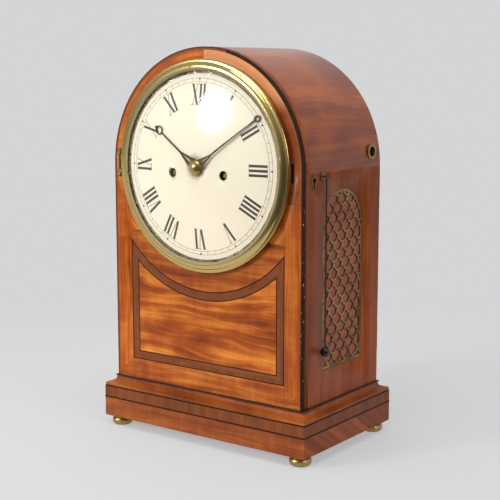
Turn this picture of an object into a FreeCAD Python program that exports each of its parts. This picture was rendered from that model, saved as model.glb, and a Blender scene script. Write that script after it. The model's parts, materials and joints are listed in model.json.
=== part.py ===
import FreeCAD, Part
import math
import os

os.makedirs("parts", exist_ok=True)

# Bracket clock, millimetres. X to the right of the dial, Y from the front to the back, Z up.
# The origin is under the middle of the whole clock, on the surface that it stands on.
# A "depth" below is the distance behind the front face of the case; proud things have less than 0.

# ---- case ----
case_width = 256.0
case_depth = 151.0
spring_height = 303.5      # centre of the arched top, above the table
board = 10.0               # thickness of the sides, arch and front board
veneer = 1.0
edge_line = 3.2            # ebony line round the front arris
seam = 0.6                 # gap round the back door

# ---- plinth and base moulding ----
foot_height = 11.0
foot_radius = 12.0
foot_inset = 14.0
plinth_height = 34.5
plinth_overhang = 10.3     # past the case at the sides
plinth_reach = 12.2        # past the case at the front and back
plinth_board = 16.0
moulding_height = 13.0
crossband_height = 11.5
line_width = 1.4
line_proud = 0.3

# ---- dial, bezel and hands ----
dial_height = spring_height + 1.5   # centre of the dial
aperture_radius = 103.5
dial_radius = 100.5
dial_metal = 1.5
dial_rim_proud = 5.2       # front of the dial's rim, in front of the case
dial_crown = 7.0           # how much the middle of the dial stands in front of its rim
bezel_radius = 113.7
bezel_edge = 6.7
bezel_crest = 9.6
sight_radius = 101.6
glass_metal = 1.6
glass_rise = 18.0
bezel_gap = 0.3
lip_depth = 1.7            # of the bezel's inner lip, behind the crest
lip_width = 3.0
glass_behind = 2.8         # edge of the glass, behind the crest
winding_offset = 34.0
winding_drop = 7.0
winding_hole = 5.0
square_end = -7.7          # front end of the winding squares, behind the dial's face

hour_hand_depth = -(dial_rim_proud + dial_crown + 1.6)
minute_hand_depth = hour_hand_depth - 2.0
hand_metal = 0.8
minute_reach = dial_radius - 4.0
minute_ring = minute_reach - 4.5
minute_droop = 8.9         # how far the hand's tip lies behind its hub
minute_split = 24.0        # where the root's two prongs meet
hour_reach = dial_radius - 27.0
hour_ring = hour_reach - 7.9
hour_droop = 4.3
hour_split = 27.0
minute_angle = 54.7        # clockwise from twelve
hour_angle = 305.3
nut_radius = 8.0
nut_height = 4.2

# ---- bezel's hinge and catch ----
hinge_x = -(bezel_radius + 3.4)
hinge_depth = -3.6
knuckle = 2.4
knuckle_pin = 1.0
hinge_half = 16.0
catch_x = 112.0            # middle of the bezel's catch
catch_height = spring_height
catch_half = 9.5
catch_half_thick = 1.4
bolt_travel = 6.0

# ---- front panel ----
panel_half = 104.5
panel_rise = 22.5          # bottom of the banded panel, above the case's lower edge
panel_arc = bezel_radius + 21.3
band = 10.5
line = 1.2

# ---- side frets ----
fret_centre = case_depth / 2 + 0.5
fret_half = 40.0
fret_bottom = 93.5
fret_top = spring_height - 20.0
fret_metal = 1.2
fret_sunk = 1.0
fret_border = 3.2
fret_ledge = 1.9           # ledge of the rebate, behind the fret
scale_width = 16.8
scale_pitch = 9.9
scale_bar = 2.0

# ---- lock, bushes and repeat cord ----
keyhole_depth = 17.8
keyhole_height = catch_height - 10.5
cord_depth = 33.6
cord_height = spring_height - 4.1
cord_radius = 0.8
eyelet_outer = 3.0
eyelet_bore = 1.6
eyelet_proud = 1.2
ball_radius = 4.9
ball_height = 115.8
bush_depth = case_depth - 18.5
bush_height = spring_height + 15.7
bush_radius = 8.5
pull_travel = 16.0

# ---- back door ----
door_metal = 12.0
door_rail = 22.0
door_glass = 2.0
latch_height = spring_height - 103.5
latch_inset = 11.0         # of the knob, from the side board
latch_clear = 4.8          # room for the tongue in front of the door
latch_let_in = 6.0         # depth of the tongue's mortise in the side
back_hinge_depth = case_depth + 3.0
hinge_heights = (110.0, spring_height - 18.5)
leaf_length = 30.0
leaf_metal = 1.2
back_knuckle = 2.6

# ---- movement ----
plate = 2.5
plate_half = 70.0
plate_bottom = dial_height - 80.0
plate_top = dial_height + 75.0
front_plate_depth = 16.0
plate_gap = 53.5
arbor = 1.5
pivot = 1.0
pivot_play = 0.2
seat_thick = 12.0
seat_front = board + 2.0
pendulum_depth = front_plate_depth + 2 * plate + plate_gap + 14.5
seat_back = pendulum_depth + 11.0
rail_back = case_depth - 27.0
notch_half = 30.0          # half width of the seat's notch for the pendulum
bob_height = 122.0
bob_radius = 24.0
bell_radius = 29.0
bell_height = 24.0
bell_depth = front_plate_depth + 27.5
bell_wall = 1.8
bell_lift = 6.0            # of the bell's mouth over the plates
cock_depth = pendulum_depth - 7.0
crutch_depth = pendulum_depth - 10.6
pillar_in = 7.0            # of the pillars' centres, from the plates' side edges
pillar_places = [(sx * (plate_half - pillar_in), z) for sx in (-1, 1)
                 for z in (plate_bottom + 7.0, plate_top - 6.0)]

# ---- arbors, as (x, height), and their teeth ----
going_place = (winding_offset, dial_height - winding_drop)
strike_place = (-winding_offset, dial_height - winding_drop)
going_barrel_place = (36.0, dial_height - 58.0)
strike_barrel_place = (-36.0, dial_height - 58.0)
third_place = (11.0, dial_height + 24.0)
escape_place = (0.0, dial_height + 44.3)
anchor_place = (0.0, dial_height + 64.6)
pin_place = (-46.0, dial_height + 25.6)
locking_place = (-32.0, dial_height + 42.0)
warning_place = (-19.5, dial_height + 53.2)
fly_place = (-22.5, dial_height + 65.4)
hammer_place = (-60.0, dial_height + 47.0)
motion_place = (0.0, dial_height - 20.0)
rack_place = (14.0, dial_height - 34.0)
lever_place = (66.0, dial_height + 43.0)
great_teeth = 72
centre_teeth = 60
third_teeth = 60
escape_teeth = 36
escape_radius = 15.0
pin_teeth = 48
locking_teeth = 42
warning_teeth = 30
pinion_leaves = 6

half = case_width / 2
inner = half - board
latch_x = latch_inset - inner
back_hinge_x = inner + 0.6
glass_edge = bezel_crest - glass_behind
front_reach = glass_rise + glass_edge
back_reach = case_depth + plinth_reach + line_proud
front_y = -(back_reach - front_reach) / 2
case_bottom = foot_height + plinth_height + moulding_height
plinth_top = foot_height + plinth_height
panel_bottom = case_bottom + panel_rise
plate_in = front_plate_depth + plate
centre = (0.0, dial_height)


def at(depth):
    return front_y + depth


def box(x0, x1, d0, d1, z0, z1):
    return Part.makeBox(x1 - x0, d1 - d0, z1 - z0, FreeCAD.Vector(x0, at(d0), z0))


def rod_y(place, radius, d0, d1):
    base = FreeCAD.Vector(place[0], at(d0), place[1])
    return Part.makeCylinder(radius, d1 - d0, base, FreeCAD.Vector(0, 1, 0))


def rod_x(depth, height, radius, x0, x1):
    base = FreeCAD.Vector(x0, at(depth), height)
    return Part.makeCylinder(radius, x1 - x0, base, FreeCAD.Vector(1, 0, 0))


def rod_z(x, depth, radius, z0, z1):
    return Part.makeCylinder(radius, z1 - z0, FreeCAD.Vector(x, at(depth), z0))


def tube_y(place, outer, bore, d0, d1):
    return rod_y(place, outer, d0, d1).cut(rod_y(place, bore, d0 - 1, d1 + 1))


def prism(points, d0, d1):
    corners = [FreeCAD.Vector(x, at(d0), z) for x, z in points]
    face = Part.Face(Part.makePolygon(corners + corners[:1]))
    return face.extrude(FreeCAD.Vector(0, d1 - d0, 0))


def turned(profile, place):
    """A solid turned about the Y line through place; profile is (radius, depth) pairs or arcs."""
    edges = []
    first = None
    last = None
    for item in profile:
        point = FreeCAD.Vector(place[0] + item[0], at(item[1]), place[1])
        if last is None:
            first = point
        elif len(item) == 4:
            middle = FreeCAD.Vector(place[0] + item[2], at(item[3]), place[1])
            edges.append(Part.Arc(last, middle, point).toShape())
        else:
            edges.append(Part.LineSegment(last, point).toShape())
        last = point
    if last.distanceToPoint(first) > 1e-6:
        edges.append(Part.LineSegment(last, first).toShape())
    face = Part.Face(Part.Wire(edges))
    return face.revolve(FreeCAD.Vector(place[0], 0, place[1]), FreeCAD.Vector(0, 1, 0), 360)


def arched_wire(half_width, bottom, spring, depth, radius=None):
    """Closed outline in a front plane: square below, a half round above the spring."""
    y = at(depth)
    left = FreeCAD.Vector(-half_width, y, spring)
    right = FreeCAD.Vector(half_width, y, spring)
    low_left = FreeCAD.Vector(-half_width, y, bottom)
    low_right = FreeCAD.Vector(half_width, y, bottom)
    crown = FreeCAD.Vector(0, y, spring + half_width)
    return Part.Wire([
        Part.LineSegment(low_left, low_right).toShape(),
        Part.LineSegment(low_right, right).toShape(),
        Part.Arc(right, crown, left).toShape(),
        Part.LineSegment(left, low_left).toShape()])


def arched(half_width, bottom, spring, d0, d1):
    face = Part.Face(arched_wire(half_width, bottom, spring, d0))
    return face.extrude(FreeCAD.Vector(0, d1 - d0, 0))


def side_arched(half_width, bottom, top, x0, x1):
    """An arched block seen from the side, centred on the fret's centre line."""
    spring = top - half_width
    a = at(fret_centre - half_width)
    b = at(fret_centre + half_width)
    wire = Part.Wire([
        Part.LineSegment(FreeCAD.Vector(x0, a, bottom), FreeCAD.Vector(x0, b, bottom)).toShape(),
        Part.LineSegment(FreeCAD.Vector(x0, b, bottom), FreeCAD.Vector(x0, b, spring)).toShape(),
        Part.Arc(FreeCAD.Vector(x0, b, spring), FreeCAD.Vector(x0, at(fret_centre), top),
                 FreeCAD.Vector(x0, a, spring)).toShape(),
        Part.LineSegment(FreeCAD.Vector(x0, a, spring), FreeCAD.Vector(x0, a, bottom)).toShape()])
    return Part.Face(wire).extrude(FreeCAD.Vector(x1 - x0, 0, 0))


def tidy(shape):
    return shape.removeSplitter()


def save(node, *shapes):
    shape = shapes[0] if len(shapes) == 1 else Part.makeCompound(list(shapes))
    for solid in shape.Solids:
        if not solid.isValid() or solid.Volume <= 0:
            print("bad solid in", node)
    shape.exportStep("parts/" + node + ".step")
    print("%-20s %3d solids %10.1f mm3" % (node, len(shape.Solids), shape.Volume))


def footprint(grow_side, grow_end, z0, z1):
    """A block on the case's own plan, grown outwards."""
    return box(-half - grow_side, half + grow_side, -grow_end, case_depth + grow_end, z0, z1)


# ---- base ----
def make_feet():
    feet = []
    x = half + plinth_overhang - foot_inset
    for sx in (-1, 1):
        for depth in (foot_inset - plinth_reach, case_depth + plinth_reach - foot_inset):
            spot = FreeCAD.Vector(sx * x, at(depth), 0)
            rim = foot_radius
            wire = Part.Wire([
                Part.LineSegment(FreeCAD.Vector(0, 0, 0), FreeCAD.Vector(rim * 0.78, 0, 0)).toShape(),
                Part.Arc(FreeCAD.Vector(rim * 0.78, 0, 0), FreeCAD.Vector(rim, 0, foot_height * 0.42),
                         FreeCAD.Vector(rim * 0.8, 0, foot_height * 0.8)).toShape(),
                Part.LineSegment(FreeCAD.Vector(rim * 0.8, 0, foot_height * 0.8),
                                 FreeCAD.Vector(rim * 0.88, 0, foot_height)).toShape(),
                Part.LineSegment(FreeCAD.Vector(rim * 0.88, 0, foot_height),
                                 FreeCAD.Vector(0, 0, foot_height)).toShape(),
                Part.LineSegment(FreeCAD.Vector(0, 0, foot_height), FreeCAD.Vector(0, 0, 0)).toShape()])
            foot = Part.Face(wire).revolve(FreeCAD.Vector(), FreeCAD.Vector(0, 0, 1), 360)
            foot.translate(spot)
            feet.append(foot)
    save("feet", *feet)


def make_plinth():
    band_low = plinth_top - crossband_height
    body = footprint(plinth_overhang, plinth_reach, foot_height, plinth_top)
    hollow = footprint(plinth_overhang - plinth_board, plinth_reach - plinth_board,
                       foot_height - 1, plinth_top + 1)
    skin = footprint(plinth_overhang + 1, plinth_reach + 1, band_low - line_width, plinth_top + 1)
    core = footprint(plinth_overhang - veneer, plinth_reach - veneer, band_low - line_width, plinth_top + 1)
    plinth = body.cut(hollow).cut(skin.cut(core))
    save("plinth", tidy(plinth))
    ring = footprint(plinth_overhang, plinth_reach, band_low, plinth_top).cut(core)
    low_line = footprint(plinth_overhang + line_proud, plinth_reach + line_proud,
                         band_low - line_width, band_low).cut(core)
    return low_line, ring


def make_base_moulding():
    # a stack of frames: fillet under the case, ovolo-and-cove swept as a loft, and a flat fillet
    neck = 2.2
    neck_height = 1.4
    fillet = 3.0
    set_back = 0.6
    hollow_back = 1.6
    steps = 6
    line_top = plinth_top + line_width
    z_low = line_top + fillet
    z_high = case_bottom - neck_height
    shapes = [footprint(plinth_overhang - set_back, plinth_reach - set_back, line_top, z_low)]
    side_run = plinth_overhang - hollow_back - neck * 0.5
    end_run = plinth_reach - hollow_back - neck * 0.5
    previous = None
    for k in range(steps + 1):
        turn = math.radians(90.0 * k / steps)
        out = 1 - math.sin(turn)
        up = 1 - math.cos(turn)
        level = z_low + (z_high - z_low) * up
        grow_side = neck * 0.5 + side_run * out
        grow_end = neck * 0.5 + end_run * out
        if previous:
            shapes.append(frustum(previous, (grow_side, grow_end, level)))
        previous = (grow_side, grow_end, level)
    shapes.append(footprint(neck, neck, z_high, case_bottom))
    body = shapes[0]
    for extra in shapes[1:]:
        body = body.fuse(extra)
    body = tidy(body.cut(footprint(0, 0, plinth_top, case_bottom + 1)))
    save("base_moulding", body)
    proud = line_proud - set_back
    ring = footprint(plinth_overhang + proud, plinth_reach + proud, plinth_top, line_top)
    return ring.cut(footprint(0, 0, plinth_top - 1, case_bottom))


def frustum(low, high):
    wires = []
    for grow_side, grow_end, level in (low, high):
        x = half + grow_side
        a = at(-grow_end)
        b = at(case_depth + grow_end)
        points = [FreeCAD.Vector(-x, a, level), FreeCAD.Vector(x, a, level),
                  FreeCAD.Vector(x, b, level), FreeCAD.Vector(-x, b, level)]
        wires.append(Part.makePolygon(points + points[:1]))
    return Part.makeLoft(wires, True, True)


def make_base_board():
    save("base_board", footprint(0, 0, plinth_top, case_bottom))


# ---- case ----
def make_sides():
    """Each side: a board with the fret's opening and rebate, and the stile behind it at the door."""
    stile_depth = case_depth - door_metal - latch_clear
    for name, sx in (("side_left", -1), ("side_right", 1)):
        low_x, high_x = sorted((sx * half, sx * inner))
        side = box(low_x, high_x, board, stile_depth, case_bottom, spring_height)
        side = side.cut(side_arched(fret_half - fret_ledge, fret_bottom + fret_ledge, fret_top - fret_ledge,
                                    low_x - 1, high_x + 1))
        rebate_x = sorted((sx * (half + 1), sx * (half - fret_metal - fret_sunk)))
        side = side.cut(side_arched(fret_half, fret_bottom, fret_top, *rebate_x))
        stile = box(low_x, high_x, stile_depth, case_depth, case_bottom, spring_height)
        if sx > 0:
            side = side.cut(keyhole_prism(inner - 1, half + 1, 0.4))
            side = side.cut(rod_x(cord_depth, cord_height, eyelet_outer, inner - 1, half + 1))
        else:
            stile = stile.cut(latch_mortise())
        save(name, tidy(side), tidy(stile))


def keyhole_prism(x0, x1, grow):
    """Round above, slot below: the shape that the key passes."""
    upper = rod_x(keyhole_depth, keyhole_height + 3.0, 3.0 + grow, x0, x1)
    lower = box(x0, x1, keyhole_depth - 1.5 - grow, keyhole_depth + 1.5 + grow,
                keyhole_height - 6.0 - grow, keyhole_height + 3.0)
    return upper.fuse(lower)


def make_arch_hood():
    ring = rod_y((0, spring_height), half, board, case_depth)
    ring = ring.cut(rod_y((0, spring_height), inner, board - 1, case_depth + 1))
    ring = ring.cut(box(-half - 1, half + 1, board - 1, case_depth + 1, case_bottom, spring_height))
    ring = ring.cut(rod_x(bush_depth, bush_height, bush_radius - 1.5, inner - 4, half + 2))
    save("arch_hood", tidy(ring))


def front_disc(radius, d0, d1):
    return rod_y(centre, radius, d0, d1)


def make_front_board():
    d0, d1 = veneer, board
    front = arched(half, case_bottom, spring_height, d0, d1)
    edge = arched(half + 1, case_bottom - 1, spring_height, d0 - 1, edge_line)
    edge = edge.cut(arched(half - edge_line, case_bottom - 2, spring_height, d0 - 2, edge_line + 1))
    front = front.cut(edge)
    front = front.cut(front_disc(aperture_radius, d0 - 1, d1 + 1))
    front = front.cut(catch_slot(d0 - 1, d1 + 1))
    save("front_board", tidy(front))


def catch_slot(d0, d1):
    reach = catch_half + 0.6
    return box(catch_x - 2.0, catch_x + 3.2, d0, d1, catch_height - reach, catch_height + reach)


def panel_shape(inset, d0, d1):
    """The banded panel: straight sides and bottom, hollowed at the top round the dial."""
    side = panel_half - inset
    low = panel_bottom + inset
    arc = panel_arc + inset
    tip = dial_height - math.sqrt(arc * arc - side * side)
    y = at(d0)
    wire = Part.Wire([
        Part.LineSegment(FreeCAD.Vector(-side, y, low), FreeCAD.Vector(side, y, low)).toShape(),
        Part.LineSegment(FreeCAD.Vector(side, y, low), FreeCAD.Vector(side, y, tip)).toShape(),
        Part.Arc(FreeCAD.Vector(side, y, tip), FreeCAD.Vector(0, y, dial_height - arc),
                 FreeCAD.Vector(-side, y, tip)).toShape(),
        Part.LineSegment(FreeCAD.Vector(-side, y, tip), FreeCAD.Vector(-side, y, low)).toShape()])
    return Part.Face(wire).extrude(FreeCAD.Vector(0, d1 - d0, 0))


def make_front_veneers(plinth_band):
    skin = arched(half - edge_line, case_bottom, spring_height, 0, veneer)
    skin = skin.cut(front_disc(aperture_radius, -1, veneer + 1)).cut(catch_slot(-1, veneer + 1))
    outline = panel_shape(0, 0, veneer)
    field = panel_shape(band, 0, veneer)
    save("front_veneer", skin.cut(panel_shape(0, -1, veneer + 1)), field)
    outer_line = outline.cut(panel_shape(line, -1, veneer + 1))
    inner_line = panel_shape(band - line, 0, veneer).cut(panel_shape(band, -1, veneer + 1))
    middle = line + (band - 2 * line) * 0.55
    outer_band = panel_shape(line, 0, veneer).cut(panel_shape(middle, -1, veneer + 1))
    inner_band = panel_shape(middle, 0, veneer).cut(panel_shape(band - line, -1, veneer + 1))
    save("crossbanding", plinth_band, outer_band, inner_band)
    return [outer_line, inner_line]


def make_edge_stringing():
    edge = arched(half, case_bottom, spring_height, 0, edge_line)
    edge = edge.cut(arched(half - edge_line, case_bottom - 1, spring_height, -1, edge_line + 1))
    save("edge_stringing", tidy(edge))


# ---- frets ----
def scale_opening(centre_depth, low, x0, x1, limit):
    """One opening of the fish-scale fret: its own round bottom, under the rounds of the two above."""
    r = scale_width / 2
    inside = r - scale_bar / 2
    outside = r + scale_bar / 2
    points = []
    bottom_steps = 4
    for k in range(bottom_steps + 1):
        turn = math.pi + math.pi * k / bottom_steps
        points.append((centre_depth + inside * math.cos(turn), low + inside * math.sin(turn)))
    for aside in (r * 0.5, 0, -r * 0.5):
        height = scale_pitch - math.sqrt(outside ** 2 - (r - abs(aside)) ** 2)
        points.append((centre_depth + aside, low + height))
    corners = [FreeCAD.Vector(x0, at(d), z) for d, z in points]
    face = Part.Face(Part.makePolygon(corners + corners[:1]))
    return face.extrude(FreeCAD.Vector(x1 - x0, 0, 0)).common(limit)


def fret_plate(x0, x1):
    plate_shape = side_arched(fret_half - 0.1, fret_bottom + 0.1, fret_top - 0.1, x0, x1)
    limit = side_arched(fret_half - fret_border, fret_bottom + fret_border, fret_top - fret_border,
                        x0 - 1, x1 + 1)
    openings = []
    rows = int((fret_top - fret_bottom) / scale_pitch) + 1
    for row in range(rows):
        shift = 0.5 if row % 2 else 0.0
        for column in range(-4, 4):
            depth = fret_centre + (column + shift) * scale_width
            low = fret_bottom + fret_border + row * scale_pitch
            cell = scale_opening(depth, low, x0 - 1, x1 + 1, limit)
            for solid in cell.Solids:
                if solid.Volume > 14:
                    openings.append(solid)
    return plate_shape.cut(Part.makeCompound(openings)), len(openings)


def make_frets():
    x1 = half - fret_sunk
    shape, count = fret_plate(x1 - fret_metal, x1)
    print("fret openings", count)
    save("fret_right", shape)
    save("fret_left", shape.mirror(FreeCAD.Vector(), FreeCAD.Vector(1, 0, 0)))
    silks = []
    back = half - fret_sunk - fret_metal
    silk = side_arched(fret_half - fret_ledge - 0.3, fret_bottom + fret_ledge + 0.3,
                       fret_top - fret_ledge - 0.3, back - 0.9, back - 0.3)
    slip = side_arched(fret_half - fret_ledge - 0.2, fret_bottom + fret_ledge + 0.2,
                       fret_top - fret_ledge - 0.2, back - 4.2, back - 1.2)
    slip = slip.cut(side_arched(fret_half - fret_ledge - 4, fret_bottom + fret_ledge + 4,
                                fret_top - fret_ledge - 4, back - 6, back))
    save("side_silks", silk, silk.mirror(FreeCAD.Vector(), FreeCAD.Vector(1, 0, 0)))
    save("silk_slips", slip, slip.mirror(FreeCAD.Vector(), FreeCAD.Vector(1, 0, 0)))


# ---- lock, bushes, cord ----
def make_side_brasses():
    escutcheon = keyhole_prism(half, half + 0.6, 1.8).cut(keyhole_prism(half - 5, half + 2, 0.0))
    eyelet = rod_x(cord_depth, cord_height, eyelet_outer + 1.2, half, half + eyelet_proud)
    eyelet = eyelet.fuse(rod_x(cord_depth, cord_height, eyelet_outer - 0.05, inner, half))
    eyelet = eyelet.cut(rod_x(cord_depth, cord_height, eyelet_bore, inner - 1, half + 3))
    flange = rod_x(bush_depth, bush_height, bush_radius, half - 0.5, half + 0.8)
    barrel = rod_x(bush_depth, bush_height, bush_radius - 1.6, inner - 0.8, half + 0.8)
    bore = rod_x(bush_depth, bush_height, bush_radius - 3.0, inner - 4, half + 2)
    flange = flange.cut(rod_y((0, spring_height), half + 0.02, board, case_depth))
    bush = flange.fuse(barrel).cut(bore)
    save("side_brasses", escutcheon, tidy(eyelet), tidy(bush))


def make_lock():
    z0 = keyhole_height - 24.0
    z1 = catch_height + catch_half + 2.0
    x0 = inner - 12.8
    x1 = inner - 0.8
    wall = 1.2
    back = board + 26.0
    case = box(x0, x1, board, back, z0, z1)
    case = case.cut(box(x0 + wall, x1 - wall, board - 1, back - wall, z0 + wall, z1 - wall))
    case = case.cut(keyhole_prism(inner - 3, inner + 1, 0.2))
    save("bezel_lock", tidy(case))
    top = catch_height - catch_half - 0.5
    bolt_length = 17.0
    bolt = box(catch_x - 2.2, catch_x + 2.2, board + 2.3, board + 7.7, top - bolt_length, top)
    save("lock_bolt", bolt)


def make_repeat_pull():
    """The cord, out of its eyelet and down the side, and the ball on its end."""
    x = half + ball_radius + 0.3
    bend = 2.0
    sink = 0.35
    y = at(cord_depth)
    start = FreeCAD.Vector(half + eyelet_proud, y, cord_height)
    out = FreeCAD.Vector(x - bend, y, cord_height)
    slack = bend * (1 - math.sqrt(0.5))
    turn_mid = FreeCAD.Vector(x - slack, y, cord_height - slack)
    down = FreeCAD.Vector(x, y, cord_height - bend)
    end = FreeCAD.Vector(x, y, ball_height + ball_radius)
    path = Part.Wire([Part.LineSegment(start, out).toShape(), Part.Arc(out, turn_mid, down).toShape(),
                      Part.LineSegment(down, end).toShape()])
    section = Part.Wire(Part.makeCircle(cord_radius, start, FreeCAD.Vector(1, 0, 0)))
    save("repeat_cord", path.makePipeShell([section], True, True))
    ball = Part.makeSphere(ball_radius, FreeCAD.Vector(x, y, ball_height))
    flat = ball_height + ball_radius - sink
    save("repeat_ball", ball.cut(rod_z(x, cord_depth, 3, flat, flat + 3)))


# ---- bezel and glass ----
def make_bezel():
    """The ring with its hinge ear, the hook that the lock's bolt holds, and the inner sight ring."""
    outer = bezel_radius
    crest = -bezel_crest
    lip = crest + lip_depth
    ring = turned([
        (outer, -bezel_gap), (outer, 1.6 - bezel_edge),
        (outer - 1.6, -bezel_edge, outer - 0.45, 0.45 - bezel_edge), (outer - 3.4, -bezel_edge),
        (sight_radius + 3.2, crest, outer - 6.0, crest + 0.6), (sight_radius + 1.4, crest),
        (sight_radius, crest + 1.0), (sight_radius, lip), (sight_radius + lip_width, lip),
        (sight_radius + lip_width, -bezel_gap)], centre)
    ear_low = dial_height - hinge_half / 2 + 0.3
    ear_high = dial_height + hinge_half / 2 - 0.3
    ear = rod_z(hinge_x, hinge_depth, knuckle, ear_low, ear_high)
    ear = ear.fuse(box(hinge_x, 1.0 - bezel_radius, hinge_depth - 0.9, hinge_depth + 0.9, ear_low, ear_high))
    ear = ear.cut(rod_z(hinge_x, hinge_depth, knuckle_pin + 0.1, ear_low - 1, ear_high + 1))
    hook_low = catch_height - catch_half
    hook = box(catch_x - catch_half_thick, catch_x + catch_half_thick, -bezel_gap, board + 10.0,
               hook_low, catch_height + catch_half)
    notch = box(catch_x - 5, catch_x + 5, board + 2.0, board + 8.0,
                hook_low - 1, hook_low + bolt_travel + 2.0)
    save("bezel", tidy(ring.fuse(ear)), hook.cut(notch))
    back = -glass_edge + glass_metal
    rim = dial_radius + 0.4
    sight = dial_radius - 1.4
    front = -dial_rim_proud - 0.4
    save("sight_ring", turned([
        (sight_radius + 2.8, back + 0.3), (sight_radius + 2.8, back + 3.0), (rim, back + 3.0),
        (rim, front), (sight, front - 0.1), (sight, front - 0.6)], centre))


def dome(radius, edge_depth, rise, thick):
    """A shallow bowl that bulges forwards: front edge at edge_depth, rise at the middle."""
    sphere = (radius * radius + rise * rise) / (2 * rise)
    mid_front = edge_depth - (math.sqrt(sphere ** 2 - (radius * 0.5) ** 2) - (sphere - rise))
    mid_back = mid_front + thick
    return turned([
        (0, edge_depth - rise), (radius, edge_depth, radius * 0.5, mid_front),
        (radius, edge_depth + thick), (0, edge_depth - rise + thick, radius * 0.5, mid_back)], centre)


def make_glass():
    save("bezel_glass", dome(sight_radius + 2.8, -glass_edge, glass_rise, glass_metal))


def make_dial():
    """The convex face, the skirt behind its rim, and its three feet on the front plate."""
    whole = dome(dial_radius, -dial_rim_proud, dial_crown, dial_metal)
    face = whole.cut(rod_y(centre, 5.6, -20, 10))
    for place in (going_place, strike_place):
        face = face.cut(rod_y(place, winding_hole, -20, 10))
    skirt = tube_y(centre, dial_radius, dial_radius - 1.2, -dial_rim_proud, 2.0).cut(whole)
    feet = []
    for angle in (40, 320, 180):
        feet.append(rod_y(clock_point(56, angle), 2.0, -dial_rim_proud - 1.0, front_plate_depth).cut(whole))
    save("dial", face, skirt, *feet)


# ---- hands and motion work ----
def clock_point(radius, angle, aside=0.0):
    turn = math.radians(90 - angle)
    x = radius * math.cos(turn) + aside * math.sin(turn)
    z = dial_height + radius * math.sin(turn) - aside * math.cos(turn)
    return (x, z)


def stem(angle, r0, r1, w0, w1, d0, d1):
    return prism([clock_point(r0, angle, -w0 / 2), clock_point(r1, angle, -w1 / 2),
                  clock_point(r1, angle, w1 / 2), clock_point(r0, angle, w0 / 2)], d0, d1)


def hand(angle, hub, split, ring_at, ring_r, reach, depth, droop, bore):
    """A ring-and-arrow hand with a forked root, dished so that it follows the dial."""
    d0 = depth - 2.0
    d1 = depth + droop + 4.0
    spot = clock_point(ring_at, angle)
    shape = rod_y(centre, hub, d0, d1)
    for sx in (-1, 1):
        shape = shape.fuse(prism([
            clock_point(hub * 0.6, angle, sx * hub * 0.9), clock_point(hub * 0.6, angle, sx * hub * 0.35),
            clock_point(split, angle, -sx * 0.2), clock_point(split, angle, sx * 1.0)], d0, d1))
    shape = shape.fuse(stem(angle, split - 1.5, ring_at - ring_r + 0.6, 1.9, 1.5, d0, d1))
    shape = shape.fuse(tube_y(spot, ring_r, ring_r - 1.3, d0, d1))
    edge = ring_at + ring_r
    barb = prism([clock_point(edge - 0.5, angle, -2.6), clock_point(reach, angle, 0),
                  clock_point(edge - 0.5, angle, 2.6), clock_point(edge - 0.7, angle, 0)], d0, d1)
    shape = tidy(shape.fuse(barb).cut(rod_y(centre, bore, d0 - 1, d1 + 1)))
    return shape.common(dome(reach + 2.0, depth + droop, droop, hand_metal))


def wheel_outline(teeth, module, place, phase, tip, root):
    pitch = teeth * module / 2
    step = 2 * math.pi / teeth
    points = []
    for k in range(teeth):
        middle = phase + k * step
        for radius, turn in ((pitch - 1.3 * module, -root / 2), (pitch + module, -tip / 2),
                             (pitch + module, tip / 2), (pitch - 1.3 * module, root / 2)):
            angle = middle + turn * step
            points.append((place[0] + radius * math.cos(angle), place[1] + radius * math.sin(angle)))
    return points


def ngon(place, radius, sides):
    step = 2 * math.pi / sides
    reach = radius / math.cos(step / 2)
    return [(place[0] + reach * math.cos((k + 0.5) * step), place[1] + reach * math.sin((k + 0.5) * step))
            for k in range(sides)]


def wheel(teeth, module, place, phase, d0, thick, hub, crossings=4):
    """A crossed-out wheel with flat-sided teeth and a hole for its arbor."""
    blank = prism(wheel_outline(teeth, module, place, phase, 0.22, 0.58), d0, d0 + thick)
    rim = teeth * module / 2 - 1.3 * module - max(1.6, teeth * module * 0.035)
    boss = hub + 2.4
    if crossings:
        arm = max(1.3, rim * 0.09)
        for k in range(crossings):
            start = 2 * math.pi * k / crossings + phase
            sweep = 2 * math.pi / crossings
            points = []
            for radius, count in ((rim, 4), (boss, 2)):
                spare = arm / radius
                turns = [start + spare + (sweep - 2 * spare) * j / (count - 1) for j in range(count)]
                if radius == boss:
                    turns.reverse()
                points += [(place[0] + radius * math.cos(t), place[1] + radius * math.sin(t)) for t in turns]
            blank = blank.cut(prism(points, d0 - 1, d0 + thick + 1))
    return blank.cut(prism(ngon(place, hub, 12), d0 - 1, d0 + thick + 1))


def leaves(teeth, module, place, phase, d0, length, hub=0.0):
    blank = prism(wheel_outline(teeth, module, place, phase, 0.15, 0.5), d0, d0 + length)
    if hub:
        blank = blank.cut(prism(ngon(place, hub, 12), d0 - 1, d0 + length + 1))
    return blank


def mesh_phase(teeth, place, driver_teeth, driver_place, driver_phase):
    """Turn of a wheel so that its gap faces the driver's tooth on the line of centres."""
    line_turn = math.atan2(place[1] - driver_place[1], place[0] - driver_place[0])
    share = (line_turn - driver_phase) / (2 * math.pi / driver_teeth)
    share -= math.floor(share)
    return line_turn + math.pi + math.pi / teeth + share * (2 * math.pi / teeth)


def train_arbor(place, pinion_at, pinion_length=5.0):
    """An arbor with its two pivots, in two lengths that meet the ends of its pinion."""
    front = rod_y(place, arbor, within(0.3), within(pinion_at))
    front = front.fuse(rod_y(place, pivot, front_plate_depth, within(0.3)))
    back = rod_y(place, arbor, within(pinion_at + pinion_length), within(plate_gap - 0.3))
    back = back.fuse(rod_y(place, pivot, within(plate_gap - 0.3), within(plate_gap + plate)))
    return [tidy(front), tidy(back)]


def pair_module(place_a, teeth_a, place_b, teeth_b):
    return 2 * math.hypot(place_a[0] - place_b[0], place_a[1] - place_b[1]) / (teeth_a + teeth_b)


def within(depth_between):
    """Depth of a point measured back from the inside of the front plate."""
    return plate_in + depth_between


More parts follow.
